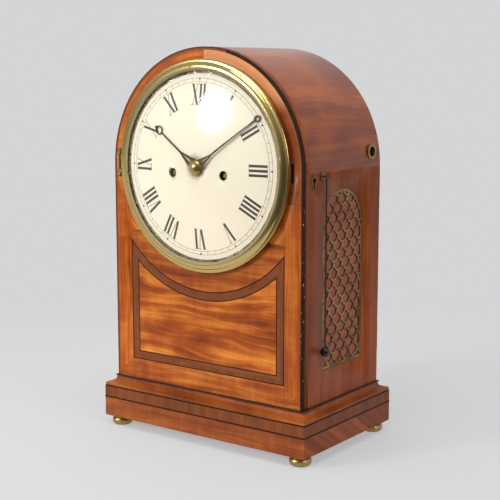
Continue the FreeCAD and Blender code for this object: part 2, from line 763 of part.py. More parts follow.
def make_hands():
    hour = hand(hour_angle, 7.2, hour_split, hour_ring, 4.8, hour_reach, hour_hand_depth, hour_droop, 4.6)
    minute = hand(minute_angle, 6.6, minute_split, minute_ring, 3.4, minute_reach, minute_hand_depth,
                  minute_droop, 3.0)
    save("hour_hand", hour)
    save("minute_hand", minute)
    base = minute_hand_depth
    sphere = (nut_radius ** 2 + nut_height ** 2) / (2 * nut_height)
    middle = base + sphere - nut_height - math.sqrt(sphere ** 2 - nut_radius ** 2 / 4)
    save("hand_nut", turned([
        (0, base - nut_height), (nut_radius, base, nut_radius / 2, middle), (3.0, base), (3.0, base - 0.9),
        (0, base - 0.9)], centre))


def make_motion_work():
    module = 1.0
    stud = motion_place
    cannon_phase = math.pi / 2
    tube = tube_y(centre, 3.0, arbor + pivot_play, minute_hand_depth - 0.9, front_plate_depth - 0.8)
    pinion = leaves(10, module, centre, cannon_phase, 11.0, 3.6, 3.0)
    save("cannon_wheel", tube, pinion)
    minute_phase = mesh_phase(30, stud, 10, centre, cannon_phase)
    big = wheel(30, module, stud, minute_phase, 11.6, 1.8, 3.0)
    small = leaves(8, module, stud, minute_phase, 7.2, 4.3, 1.7)
    hub = prism(ngon(stud, 3.0, 12), 11.5, 13.5).cut(rod_y(stud, arbor + pivot_play, 5, 16))
    save("minute_wheel", big, small, tidy(hub))
    hour_phase = mesh_phase(32, centre, 8, stud, minute_phase)
    hour = wheel(32, module, centre, hour_phase, 7.6, 1.8, 4.6)
    sleeve = tube_y(centre, 4.6, 3.2, hour_hand_depth - 0.6, 9.6)
    steps = 12
    points = []
    for k in range(steps):
        radius = 14.0 - 6.5 * k / (steps - 1)
        for share in (0.02, 0.98):
            turn = -2 * math.pi * (k + share) / steps
            points.append((radius * math.cos(turn), dial_height + radius * math.sin(turn)))
    snail = prism(points, 5.0, 6.8).cut(prism(ngon(centre, 4.6, 12), 4, 8))
    save("hour_wheel", hour, sleeve, snail)


def make_train():
    great = pair_module(going_place, great_teeth, centre, pinion_leaves)
    phase_great = 0.0
    phase_centre = mesh_phase(pinion_leaves, centre, great_teeth, going_place, phase_great)
    cone("going_fusee", going_place, great, phase_great, 5.0, 9.0, 40.0)
    barrel("going_barrel", going_barrel_place, 11.0, 42.0)

    upper = pair_module(centre, centre_teeth, third_place, pinion_leaves)
    front = rod_y(centre, arbor, minute_hand_depth + 0.4, within(4.0))
    rear = rod_y(centre, arbor, within(9.0), within(plate_gap + plate))
    save("centre_wheel", front, rear,
         leaves(pinion_leaves, great, centre, phase_centre, within(4.0), 5.0),
         wheel(centre_teeth, upper, centre, phase_centre, within(46.0), 2.0, arbor, 4))

    phase_third = mesh_phase(pinion_leaves, third_place, centre_teeth, centre, phase_centre)
    last = pair_module(third_place, third_teeth, escape_place, pinion_leaves)
    save("third_wheel", *train_arbor(third_place, 44.5),
         leaves(pinion_leaves, upper, third_place, phase_third, within(44.5), 5.0),
         wheel(third_teeth, last, third_place, phase_third, within(34.0), 1.8, arbor, 4))

    phase_escape = mesh_phase(pinion_leaves, escape_place, third_teeth, third_place, phase_third)
    save("escape_wheel", *train_arbor(escape_place, 32.4),
         leaves(pinion_leaves, last, escape_place, phase_escape, within(32.4), 5.0),
         escape(escape_place, phase_escape, within(24.0), 1.6))


def escape(place, phase, d0, thick):
    """Escape wheel: raked pointed teeth round a crossed rim."""
    step = 2 * math.pi / escape_teeth
    points = []
    for k in range(escape_teeth):
        turn = phase + k * step
        for radius, share in ((escape_radius - 3.2, 0.0), (escape_radius, 0.34), (escape_radius - 3.0, 0.44)):
            points.append((place[0] + radius * math.cos(turn + share * step),
                           place[1] + radius * math.sin(turn + share * step)))
    blank = prism(points, d0, d0 + thick)
    for k in range(4):
        start = phase + k * math.pi / 2
        window = []
        for radius, turns in ((escape_radius - 5.0, (0.16, 0.785, 1.41)), (3.8, (1.2, 0.37))):
            for turn in turns:
                window.append((place[0] + radius * math.cos(start + turn),
                               place[1] + radius * math.sin(start + turn)))
        blank = blank.cut(prism(window, d0 - 1, d0 + thick + 1))
    return blank.cut(prism(ngon(place, arbor, 12), d0 - 1, d0 + thick + 1))


def cone(node, place, module, phase, wheel_at, large_at, small_at):
    """Fusee: great wheel, grooved cone, stop cap and winding square on one arbor."""
    large = 19.0
    small = 9.5
    grooves = 8
    core = arbor + 1.5
    front = within(large_at)
    back = within(small_at)
    profile = [(core, front - 1.0), (large + 1.6, front - 1.0), (large + 1.6, front)]
    run = (back - front) / grooves
    for k in range(grooves):
        share = (k + 0.5) / grooves
        r_low = large * small / (small + (large - small) * share) - 0.9
        r_high = large * small / (small + (large - small) * (k + 1) / grooves)
        profile.append((r_low, front + run * (k + 0.5)))
        profile.append((r_high, front + run * (k + 1)))
    profile += [(small + 2.2, back), (small + 2.2, back + 1.6), (core, back + 1.6)]
    shoulder = within(wheel_at - 2.0)
    back_end = within(plate_gap - 0.3)
    square = 2.3
    square_back = front_plate_depth - 1.5
    rod = rod_y(place, core, shoulder, back_end)
    rod = rod.fuse(rod_y(place, 2.2, square_back, shoulder))
    rod = rod.fuse(rod_y(place, 1.6, back_end, within(plate_gap + plate)))
    rod = rod.fuse(box(place[0] - square, place[0] + square, square_end, square_back,
                       place[1] - square, place[1] + square))
    great = wheel(great_teeth, module, place, phase, within(wheel_at), 3.0, core, 0)
    save(node, tidy(rod), great, turned(profile, place))


def barrel(node, place, front_at, back_at):
    """Mainspring barrel: a drum with two lips on an arbor that ends in both plates."""
    drum = 19.5
    waist = drum - 1.2
    lip = 2.0
    core = arbor + 1.5
    front = within(front_at)
    back = within(back_at)
    shape = turned([(core, front), (drum, front), (drum, front + lip), (waist, front + lip),
                    (waist, back - lip), (drum, back - lip), (drum, back), (core, back)], place)
    rod = rod_y(place, core, within(0.3), within(plate_gap - 0.3))
    rod = rod.fuse(rod_y(place, 2.0, front_plate_depth - 3.0, within(0.3)))
    rod = rod.fuse(rod_y(place, 2.0, within(plate_gap - 0.3), within(plate_gap + plate)))
    save(node, tidy(rod), shape)


def make_strike_train():
    great = pair_module(strike_place, great_teeth, pin_place, pinion_leaves)
    phase_great = 0.0
    cone("strike_fusee", strike_place, great, phase_great, 12.0, 16.0, 44.0)
    barrel("strike_barrel", strike_barrel_place, 18.0, 48.0)

    second = pair_module(pin_place, pin_teeth, locking_place, 6)
    phase_pin = mesh_phase(6, pin_place, great_teeth, strike_place, phase_great)
    pins = []
    for k in range(8):
        turn = k * math.pi / 4 + phase_pin
        spot = (pin_place[0] + 15.5 * math.cos(turn), pin_place[1] + 15.5 * math.sin(turn))
        pins.append(prism(ngon(spot, 0.7, 6), within(43.5), within(47.0)))
    save("pin_wheel", *train_arbor(pin_place, 11.0),
         leaves(6, great, pin_place, phase_pin, within(11.0), 5.0),
         wheel(pin_teeth, second, pin_place, phase_pin, within(47.0), 2.0, arbor, 4), *pins)

    third = pair_module(locking_place, locking_teeth, warning_place, 6)
    phase_lock = mesh_phase(6, locking_place, pin_teeth, pin_place, phase_pin)
    save("locking_wheel", *train_arbor(locking_place, 45.5),
         leaves(6, second, locking_place, phase_lock, within(45.5), 5.0),
         wheel(locking_teeth, third, locking_place, phase_lock, within(30.0), 1.8, arbor, 4))

    fourth = pair_module(warning_place, warning_teeth, fly_place, 6)
    phase_warn = mesh_phase(6, warning_place, locking_teeth, locking_place, phase_lock)
    save("warning_wheel", *train_arbor(warning_place, 28.5),
         leaves(6, third, warning_place, phase_warn, within(28.5), 5.0),
         wheel(warning_teeth, fourth, warning_place, phase_warn, within(40.0), 1.6, arbor, 4))

    phase_fly = mesh_phase(6, fly_place, warning_teeth, warning_place, phase_warn)
    x, z = fly_place
    sleeve = prism(ngon(fly_place, 2.4, 8), within(6), within(24))
    sleeve = sleeve.cut(prism(ngon(fly_place, arbor, 12), within(5), within(25)))
    vanes = sleeve.fuse(box(x - 9.5, x - 2.0, within(6), within(24), z - 0.3, z + 0.3))
    vanes = vanes.fuse(box(x + 2.0, x + 9.5, within(6), within(24), z - 0.3, z + 0.3))
    pinion = leaves(6, fourth, fly_place, phase_fly, within(38.5), 5.0)
    save("fly", *train_arbor(fly_place, 38.5), pinion, tidy(vanes))


def make_plates():
    """Front plate with its studs; back plate with the four pillars that join them."""
    pivots = [third_place, escape_place, pin_place, locking_place, warning_place, fly_place, hammer_place]
    barrels = [(going_barrel_place, 2.0), (strike_barrel_place, 2.0)]
    front_holes = [(anchor_place, pivot), (centre, arbor), (going_place, 2.2), (strike_place, 2.2)]
    back_holes = [(anchor_place, 3.8), (centre, arbor), (going_place, 1.6), (strike_place, 1.6)]
    shapes = []
    for start, holes in ((front_plate_depth, front_holes), (within(plate_gap), back_holes)):
        body = box(-plate_half, plate_half, start, start + plate, plate_bottom, plate_top)
        for place, radius in [(place, pivot) for place in pivots] + barrels + holes:
            body = body.cut(rod_y(place, radius + pivot_play, start - 1, start + plate + 1))
        shapes.append(body)
    studs = [rod_y(place, arbor, start, front_plate_depth)
             for place, start in ((motion_place, 6.0), (rack_place, 2.0), (lever_place, 8.6))]
    save("front_plate", shapes[0], *studs)
    half_pillar = [(4.4, 0.0), (4.4, 2.4), (3.0, 4.6), (3.0, plate_gap / 4), (3.8, plate_gap / 2)]
    profile = [(radius, within(depth)) for radius, depth in half_pillar]
    profile += [(radius, within(plate_gap - depth)) for radius, depth in reversed(half_pillar[:-1])]
    pillars = [turned([(0, within(0)), *profile, (0, within(plate_gap))], place) for place in pillar_places]
    save("back_plate", shapes[1], *pillars)


def make_rack():
    """Rack: a toothed arc on a long arm, and a tail whose finger stands off the snail."""
    x, z = rack_place
    d0, d1 = 2.6, 4.2
    hub = rod_y(rack_place, 4.5, d0, d1 + 1.6)
    points = []
    teeth = 13
    reach = 75.0
    low, high = math.radians(126), math.radians(145)
    for k in range(teeth):
        for share, height in ((0.0, 0.0), (0.2, 2.2)):
            turn = low + (high - low) * (k + share) / teeth
            points.append((x + (reach + height) * math.cos(turn), z + (reach + height) * math.sin(turn)))
    for radius, turns in ((reach, (high,)), (reach - 4.5, (high, (low + high) / 2, low))):
        points += [(x + radius * math.cos(turn), z + radius * math.sin(turn)) for turn in turns]
    arc = prism(points, d0, d1)
    lean = math.radians(135)
    run = (math.cos(lean), math.sin(lean))
    arm = prism([(x - 2.6 * run[1], z + 2.6 * run[0]),
                 (x + (reach - 3) * run[0] - 1.5 * run[1], z + (reach - 3) * run[1] + 1.5 * run[0]),
                 (x + (reach - 3) * run[0] + 1.5 * run[1], z + (reach - 3) * run[1] - 1.5 * run[0]),
                 (x + 2.6 * run[1], z - 2.6 * run[0])], d0, d1)
    tip = (-11.5, dial_height - 14.6)
    tail = prism([(x - 1.2, z + 2.2), tip, (tip[0] - 1.6, tip[1] - 2.4), (x - 3.0, z - 1.2)], d0, d1)
    square = [(0.0, 0.0), (-1.6, -2.4), (0.8, -4.0), (2.4, -1.6)]
    finger = prism([(tip[0] + aside, tip[1] + up) for aside, up in square], d0, 6.6)
    rack = hub.fuse(arc).fuse(arm).fuse(tail).fuse(finger)
    save("rack", tidy(rack.cut(rod_y(rack_place, arbor + pivot_play, d0 - 1, d1 + 6))))


def make_repeat_lever():
    x, z = lever_place
    d0, d1 = 9.4, 11.2
    end = (x + 11.0, cord_height)
    hub = rod_y(lever_place, 4.2, d0, d1 + 2.0)
    arm = prism([(x - 2.4, z), (x + 2.6, z + 1.0), (end[0] + 2.0, end[1]), (end[0] - 2.0, end[1])], d0, d1)
    knob = rod_y(end, 2.4, d0, d1)
    pin = rod_y(end, 1.3, d1, cord_depth + 2.0)
    lever = hub.fuse(arm).fuse(knob).fuse(pin)
    save("repeat_lever", tidy(lever.cut(rod_y(lever_place, arbor + pivot_play, d0 - 1, d1 + 4))))


def make_escapement():
    """Anchor, its arbor and the crutch that embraces the pendulum rod."""
    x, z = anchor_place
    rod = rod_y(anchor_place, arbor, within(0.3), cock_depth - 0.3)
    rod = rod.fuse(rod_y(anchor_place, pivot, front_plate_depth, within(0.3)))
    rod = rod.fuse(rod_y(anchor_place, pivot, cock_depth - 0.3, cock_depth + 3.0))
    d0 = within(23.6)
    d1 = within(26.2)
    body = rod.fuse(rod_y(anchor_place, 3.6, d0 - 2, d1 + 2))
    for sx in (-1, 1):
        pallet = [(1.0, 3.2), (12.6, -4.2), (13.7, -8.2), (12.0, -8.9), (10.6, -6.2), (1.0, -2.6)]
        body = body.fuse(prism([(x + sx * aside, z + up) for aside, up in pallet], d0, d1))
    thick = 1.6
    drop = 46.0
    body = body.fuse(rod_y(anchor_place, 3.0, crutch_depth, crutch_depth + thick))
    body = body.fuse(prism([(x - 1.6, z), (x + 1.6, z), (x + 1.2, z - drop), (x - 1.2, z - drop)],
                           crutch_depth, crutch_depth + thick))
    body = body.fuse(box(x - 4.2, x + 4.2, crutch_depth, crutch_depth + thick, z - drop, z - drop + 3.0))
    for sx in (-1, 1):
        low, high = sorted((x + sx * 2.2, x + sx * 4.2))
        body = body.fuse(box(low, high, crutch_depth, pendulum_depth + 3.0, z - drop, z - drop + 3.0))
    save("anchor", tidy(body))


def make_pendulum():
    x, z = anchor_place
    spring = box(x - 0.15, x + 0.15, pendulum_depth - 3.0, pendulum_depth + 3.0, z - 14.0, z + 5.0)
    block = box(x - 2.0, x + 2.0, pendulum_depth - 3.4, pendulum_depth + 3.4, z - 20.0, z - 12.0)
    rod = rod_z(x, pendulum_depth, 1.6, bob_height - bob_radius - 12.0, z - 20.0)
    save("pendulum_rod", tidy(spring.fuse(block).fuse(rod)))
    half_thick = 6.0
    sphere = (bob_radius ** 2 + half_thick ** 2) / (2 * half_thick)
    mid_thick = math.sqrt(sphere ** 2 - bob_radius ** 2 / 4) - (sphere - half_thick)
    bob = turned([(0, pendulum_depth - half_thick),
                  (bob_radius, pendulum_depth, bob_radius / 2, pendulum_depth - mid_thick),
                  (0, pendulum_depth + half_thick, bob_radius / 2, pendulum_depth + mid_thick)],
                 (x, bob_height))
    bob = bob.cut(rod_z(x, pendulum_depth, 1.6, bob_height - 40, bob_height + 40))
    low = bob_height - bob_radius - 4.6
    nut = rod_z(x, pendulum_depth, 5.0, low, low + 4.6)
    nut = nut.cut(rod_z(x, pendulum_depth, 1.6, low - 1, bob_height))
    save("pendulum_bob", bob, nut)


def make_back_cock():
    """Bridge for the anchor's back pivot, with the slit lip that the pendulum hangs from."""
    x, z = anchor_place
    back = within(plate_gap + plate)
    face = box(x - 13.0, x + 13.0, cock_depth, cock_depth + 3.0, z - 6.0, z + 7.0)
    for sx in (-1, 1):
        low, high = sorted((x + sx * 10.0, x + sx * 13.0))
        face = face.fuse(box(low, high, back, cock_depth, z - 6.0, z + 7.0))
    lip = box(x - 3.5, x + 3.5, cock_depth, pendulum_depth + 4.0, z + 1.6, z + 7.0)
    face = face.fuse(lip).cut(rod_y(anchor_place, pivot + pivot_play, cock_depth - 1, cock_depth + 3.5))
    face = face.cut(box(x - 0.6, x + 0.6, pendulum_depth - 3.5, pendulum_depth + 5.0, z + 1.0, z + 5.6))
    save("back_cock", tidy(face))


def make_bell():
    """A round cup over a short flared rim, on a stand that rises from the back plate."""
    low = plate_top + bell_lift
    rim_height = bell_height * 0.3
    waist = bell_radius * 0.93
    screw_radius = 3.0
    edges = []
    corners = []
    for inset in (0.0, bell_wall):
        radius = waist - inset
        crown = bell_height - inset
        sphere = (radius ** 2 + (crown - rim_height) ** 2) / (2 * (crown - rim_height))
        level = crown - sphere
        hole = level + math.sqrt(sphere ** 2 - screw_radius ** 2)
        middle = level + math.sqrt(sphere ** 2 - radius ** 2 / 4)
        top = FreeCAD.Vector(screw_radius, 0, hole)
        side = FreeCAD.Vector(radius, 0, rim_height)
        mouth = FreeCAD.Vector(bell_radius - inset, 0, 0)
        edges.append(Part.Arc(top, FreeCAD.Vector(radius / 2, 0, middle), side).toShape())
        edges.append(Part.LineSegment(side, mouth).toShape())
        corners.append((top, mouth))
    for k in range(2):
        edges.append(Part.LineSegment(corners[0][k], corners[1][k]).toShape())
    wire = Part.Wire(Part.__sortEdges__(edges))
    bell = Part.Face(wire).revolve(FreeCAD.Vector(), FreeCAD.Vector(0, 0, 1), 360)
    bell.translate(FreeCAD.Vector(0, at(bell_depth), low))
    save("bell", bell)
    top_level = low + bell_height
    back = within(plate_gap + plate)
    arm_low = top_level + 1.0
    arm_metal = 3.0
    post = box(-4.5, 4.5, back, back + arm_metal, plate_top - 3.0, arm_low + arm_metal)
    arm = box(-4.5, 4.5, bell_depth - 5.0, back + arm_metal, arm_low, arm_low + arm_metal)
    screw = rod_z(0, bell_depth, screw_radius - 0.2, top_level - 6.0, arm_low)
    save("bell_stand", tidy(post.fuse(arm).fuse(screw)))


def make_hammer():
    x, z = hammer_place
    rod = rod_y(hammer_place, arbor, within(0.3), within(plate_gap - 0.3))
    rod = rod.fuse(rod_y(hammer_place, pivot, front_plate_depth, within(0.3)))
    rod = rod.fuse(rod_y(hammer_place, pivot, within(plate_gap - 0.3), within(plate_gap + plate)))
    strike_z = plate_top + bell_lift + 5.5
    top_x = -bell_radius - 8.0
    arm = prism([(x - 1.6, z), (top_x - 1.4, strike_z), (top_x + 1.4, strike_z), (x + 1.6, z)],
                bell_depth - 1.2, bell_depth + 1.2)
    hub = rod_y(hammer_place, 3.6, bell_depth - 4, bell_depth + 4)
    head = rod_x(bell_depth, strike_z, 4.6, -bell_radius - 14.0, -bell_radius - 1.2)
    tail = prism([(x - 1.5, z), (x + 8.0, z - 7.5), (x + 6.0, z - 9.0), (x - 1.5, z - 3.0)],
                 within(40.5), within(42.5))
    save("hammer", tidy(rod.fuse(arm).fuse(hub).fuse(head).fuse(tail)))


def make_gut_lines():
    lines = []
    for fusee, drum, depth in ((going_place, going_barrel_place, within(14.0)),
                               (strike_place, strike_barrel_place, within(21.0))):
        side = 1 if drum[0] > 0 else -1
        a = FreeCAD.Vector(drum[0] + side * 19.4, at(depth), drum[1])
        b = FreeCAD.Vector(fusee[0] + side * 18.9, at(depth), fusee[1])
        line_dir = b - a
        lines.append(Part.makeCylinder(0.8, line_dir.Length, a, line_dir))
    save("gut_lines", *lines)


def make_seat():
    top = plate_bottom
    low = top - seat_thick
    rail = 9.0
    shelf = box(-inner, inner, seat_front, seat_back, low, top)
    shelf = shelf.cut(box(-notch_half, notch_half, pendulum_depth - 11.0, seat_back + 1, low - 1, top + 1))
    rails = [box(x, x + rail, seat_front, rail_back, low - seat_thick, low) for x in (-inner, inner - rail)]
    save("seat_board", tidy(shelf), *rails)


# ---- back door ----
def latch_mortise():
    face = case_depth - door_metal
    return box(-inner - latch_let_in, -inner + 1.0, face - latch_clear, face - 0.2,
               latch_height - 12.0, latch_height + 4.0)


def make_back_door():
    d0 = case_depth - door_metal
    d1 = case_depth
    outline = inner - seam
    frame = arched(outline, case_bottom + seam, spring_height, d0, d1)
    opening = outline - door_rail
    frame = frame.cut(arched(opening, case_bottom + seam + door_rail, spring_height, d0 - 1, d1 + 1))
    rebate = arched(opening + 4.0, case_bottom + seam + door_rail - 4.0, spring_height, d0 - 1, d0 + 4.0)
    frame = frame.cut(rebate)
    frame = frame.cut(rod_y((latch_x, latch_height), 2.3, d0 - 1, d1 + 1))
    save("back_door", tidy(frame))
    pane = arched(opening + 3.8, case_bottom + seam + door_rail - 3.8, spring_height, d0 + 2.0, d0 + 4.0)
    save("back_door_glass", pane)


def bezel_hinge_leaf():
    """Two outer knuckles on a leaf on the front of the case, with their pin."""
    z_low = dial_height - hinge_half
    z_high = dial_height + hinge_half
    ear_low = dial_height - hinge_half / 2
    ear_high = dial_height + hinge_half / 2
    leaf = box(hinge_x - 2.0, hinge_x + 2.4, -0.9, 0.0, z_low, z_high)
    for a, b in ((z_low, ear_low), (ear_high, z_high)):
        leaf = leaf.fuse(rod_z(hinge_x, hinge_depth, knuckle, a, b))
        leaf = leaf.fuse(box(hinge_x - 1.6, hinge_x + 1.6, hinge_depth, 0.0, a, b))
    leaf = leaf.cut(box(hinge_x - 8, hinge_x + 8, hinge_depth - 4, -0.95, ear_low, ear_high))
    return tidy(leaf.fuse(rod_z(hinge_x, hinge_depth, knuckle_pin, z_low, z_high)))


def back_hinge_leaves(height):
    """One hinge of the back door: the case's leaf with its pin, and the door's leaf."""
    z0 = height - leaf_length / 2
    z1 = height + leaf_length / 2
    mid_low = z0 + leaf_length / 4
    mid_high = z1 - leaf_length / 4
    skin = case_depth + leaf_metal
    fixed = box(back_hinge_x + 1.0, half - 0.5, case_depth, skin, z0, z1)
    for a, b in ((z0, mid_low), (mid_high, z1)):
        fixed = fixed.fuse(rod_z(back_hinge_x, back_hinge_depth, back_knuckle, a, b))
        fixed = fixed.fuse(box(back_hinge_x, back_hinge_x + 2.4, case_depth, back_hinge_depth, a, b))
    fixed = fixed.cut(box(back_hinge_x - 4, back_hinge_x + 3, case_depth - 1, case_depth + 8,
                          mid_low, mid_high))
    fixed = fixed.fuse(rod_z(back_hinge_x, back_hinge_depth, 1.1, z0, z1))
    a = mid_low + 0.2
    b = mid_high - 0.2
    swung = box(back_hinge_x - 13.0, back_hinge_x - 2.0, case_depth, skin, a, b)
    swung = swung.fuse(rod_z(back_hinge_x, back_hinge_depth, back_knuckle, a, b))
    swung = swung.fuse(box(back_hinge_x - 2.4, back_hinge_x, case_depth, back_hinge_depth, a, b))
    swung = swung.cut(rod_z(back_hinge_x, back_hinge_depth, 1.2, z0 - 1, z1 + 1))
    return tidy(fixed), tidy(swung)


def make_hinges():
    leaves_fixed = [bezel_hinge_leaf()]
    leaves_swung = []
    for height in hinge_heights:
        fixed, swung = back_hinge_leaves(height)
        leaves_fixed.append(fixed)
        leaves_swung.append(swung)
    save("hinge_leaves", *leaves_fixed)
    rose = tube_y((latch_x, latch_height), 5.0, 2.3, case_depth, case_depth + 0.8)
    save("door_brasses", rose, *leaves_swung)


def make_door_latch():
    """Knob and spindle in one turning, and the tongue on the door's inner face."""
    face = case_depth - door_metal
    skin = case_depth + 1.2
    knob = turned([(0, face - 2.8), (2.1, face - 2.8), (2.1, skin), (3.2, skin), (5.2, skin + 3.2),
                   (4.6, skin + 6.0), (2.5, skin + 7.4), (0, skin + 7.4)], (latch_x, latch_height))
    tongue = box(latch_x - 3.0, latch_x + 3.0, face - 2.6, face - 0.6,
                 latch_height - 15.0, latch_height + 3.0)
    save("door_latch", knob.fuse(tongue))


make_feet()
plinth_line, plinth_band = make_plinth()
moulding_line = make_base_moulding()
make_base_board()
make_sides()
make_arch_hood()
make_front_board()
panel_lines = make_front_veneers(plinth_band)
save("stringing", plinth_line, moulding_line, *panel_lines)
make_edge_stringing()
make_frets()
make_side_brasses()
make_lock()
make_repeat_pull()
make_bezel()
make_glass()
make_dial()
make_hands()
make_motion_work()
make_train()
make_strike_train()
make_plates()
make_rack()
make_repeat_lever()
make_escapement()
make_pendulum()
make_back_cock()
make_bell()
make_hammer()
make_gut_lines()
make_seat()
make_back_door()
make_hinges()
make_door_latch()
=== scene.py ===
import json
import math

import bpy
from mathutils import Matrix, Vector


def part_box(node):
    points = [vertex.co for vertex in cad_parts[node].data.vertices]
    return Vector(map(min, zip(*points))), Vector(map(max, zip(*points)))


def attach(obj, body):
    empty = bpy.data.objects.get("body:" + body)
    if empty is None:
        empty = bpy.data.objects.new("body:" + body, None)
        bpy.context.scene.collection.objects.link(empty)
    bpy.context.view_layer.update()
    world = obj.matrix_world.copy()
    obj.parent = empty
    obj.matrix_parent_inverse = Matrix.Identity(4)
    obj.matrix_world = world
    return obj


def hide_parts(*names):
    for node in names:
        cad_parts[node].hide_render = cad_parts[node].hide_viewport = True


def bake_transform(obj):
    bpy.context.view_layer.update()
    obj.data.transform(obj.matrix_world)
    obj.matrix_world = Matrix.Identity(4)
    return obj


mm = 0.001

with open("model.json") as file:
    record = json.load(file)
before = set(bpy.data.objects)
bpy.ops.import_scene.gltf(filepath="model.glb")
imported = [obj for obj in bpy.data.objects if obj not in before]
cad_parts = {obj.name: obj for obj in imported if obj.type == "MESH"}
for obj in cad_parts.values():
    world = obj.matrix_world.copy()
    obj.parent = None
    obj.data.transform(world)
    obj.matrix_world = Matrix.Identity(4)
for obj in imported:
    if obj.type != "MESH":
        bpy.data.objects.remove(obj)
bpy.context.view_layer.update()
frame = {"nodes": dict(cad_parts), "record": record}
bodyOf = {node: body for body, nodes in frame["record"]["behaviour"]["bodies"].items() for node in nodes}
slotOf = {part["node"]: part["material_slot"] for part in frame["record"]["subparts"]}
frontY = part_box("front_veneer")[0][1]
dialMid = [(low + high) / 2 for low, high in zip(*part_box("dial"))]
print("frame loaded")


class Wire:
    def __init__(self, finish, socket):
        self.finish = finish
        self.socket = socket

    def calc(self, operation, *others):
        return self.finish.add("ShaderNodeMath", {"operation": operation}, [self, *others])

    def __add__(self, other):
        return self.calc("ADD", other)

    def __mul__(self, other):
        return self.calc("MULTIPLY", other)

    def __sub__(self, other):
        return self.calc("SUBTRACT", other)

    def __truediv__(self, other):
        return self.calc("DIVIDE", other)

    def __pow__(self, other):
        return self.calc("POWER", other)

    def __gt__(self, other):
        return self.calc("GREATER_THAN", other)

    def __lt__(self, other):
        return self.calc("LESS_THAN", other)

    def __abs__(self):
        return self.calc("ABSOLUTE")

    def __rsub__(self, other):
        return self.finish.add("ShaderNodeMath", {"operation": "SUBTRACT"}, [other, self])

    __radd__ = __add__
    __rmul__ = __mul__


class Finish:
    def __init__(self, name, tree=None):
        if tree is None:
            self.material = bpy.data.materials.new(name)
            self.material.use_nodes = True
            tree = self.material.node_tree
            self.shader = tree.nodes["Principled BSDF"]
        self.tree = tree

    def add(self, kind, settings, values, output=0):
        node = self.tree.nodes.new(kind)
        for name, setting in settings.items():
            if name == "stops":
                self.setStops(node.color_ramp, setting)
            else:
                setattr(node, name, setting)
        pairs = values.items() if isinstance(values, dict) else enumerate(values)
        for key, value in pairs:
            self.feed(node.inputs[key], value)
        return Wire(self, node.outputs[output])

    def setStops(self, ramp, stops):
        while len(ramp.elements) < len(stops):
            ramp.elements.new(1.0)
        for element, (position, colour) in zip(ramp.elements, stops):
            element.position = position
            element.color = colour

    def feed(self, socket, value):
        if isinstance(value, Wire):
            self.tree.links.new(value.socket, socket)
        else:
            socket.default_value = value

    def put(self, **values):
        for name, value in values.items():
            self.feed(self.shader.inputs[name.replace("_", " ")], value)

    def place(self):
        return self.add("ShaderNodeTexCoord", {}, {}, "Object")

    def axes(self):
        spot = self.add("ShaderNodeSeparateXYZ", {}, [self.place()])
        return [Wire(self, spot.socket.node.outputs[k]) for k in range(3)]

    def vector(self, x, y, z):
        return self.add("ShaderNodeCombineXYZ", {}, [x, y, z])

    def noise(self, vector, scale, detail=4.0, roughness=0.55, distortion=0.0):
        return self.add("ShaderNodeTexNoise", {}, {
            "Vector": vector, "Scale": scale, "Detail": detail, "Roughness": roughness, "Distortion": distortion})

    def blendColours(self, factor, first, second, blend="MIX"):
        return self.add("ShaderNodeMix", {"data_type": "RGBA", "blend_type": blend}, {0: factor, 6: first, 7: second}, 2)

    def choose(self, factor, first, second):
        return self.add("ShaderNodeMix", {"data_type": "FLOAT"}, {0: factor, 2: first, 3: second}, 0)

    def ramp(self, value, stops):
        return self.add("ShaderNodeValToRGB", {"stops": stops}, [value], "Color")

    def smooth(self, value, low, high):
        return self.add("ShaderNodeMapRange", {"interpolation_type": "SMOOTHSTEP"}, {
            "Value": value, "From Min": low, "From Max": high, "To Min": 0.0, "To Max": 1.0})

    def bump(self, height, strength, distance):
        self.put(Normal=self.add("ShaderNodeBump", {}, {
            "Height": height, "Strength": strength, "Distance": distance}))


def tone(red, green, blue):
    linear = [((c / 255 + 0.055) / 1.055) ** 2.4 if c > 10 else c / 255 / 12.92 for c in (red, green, blue)]
    return (*linear, 1.0)


def clearSelection():
    bpy.ops.object.select_all(action="DESELECT")


def finishUp(piece, body, material, nodes=()):
    piece.data.materials.clear()
    piece.data.materials.append(material)
    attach(piece, body)
    if nodes:
        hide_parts(*nodes)
    return piece


# ---- wood ----
def grainColour(finish, along, across, seed, look):
    # long fibres, soft growth bands and a cloudy figure, all in metres along and across the grain
    wander = finish.noise(finish.vector(along * 7.0, across * 20.0, seed), 1.0, 2.0) - 0.5
    bent = across + wander * look["wander"]
    fibres = finish.noise(finish.vector(along * look["fibreLength"], bent * look["fibreWidth"], seed), 1.0, 5.0, 0.65)
    bands = finish.noise(finish.vector(along * 5.0, bent * look["bandWidth"], seed + 3.0), 1.0, 3.0, 0.5)
    cloud = finish.noise(finish.vector(along * look["cloudLong"], across * look["cloudWide"], seed + 7.0), 1.0, 2.5, 0.55)
    curl = finish.noise(finish.vector(along * look["curlPitch"], across * 30.0, seed + 11.0), 1.0, 2.0, 0.5)
    value = (fibres - 0.5) * look["fibre"] + (bands - 0.5) * look["band"]
    value = value + (cloud - 0.5) * look["cloud"] + (curl - 0.5) * look["curl"] + 0.5
    return finish.ramp(value, [(0.0, look["dark"]), (0.45, look["middle"]), (1.0, look["light"])]), fibres


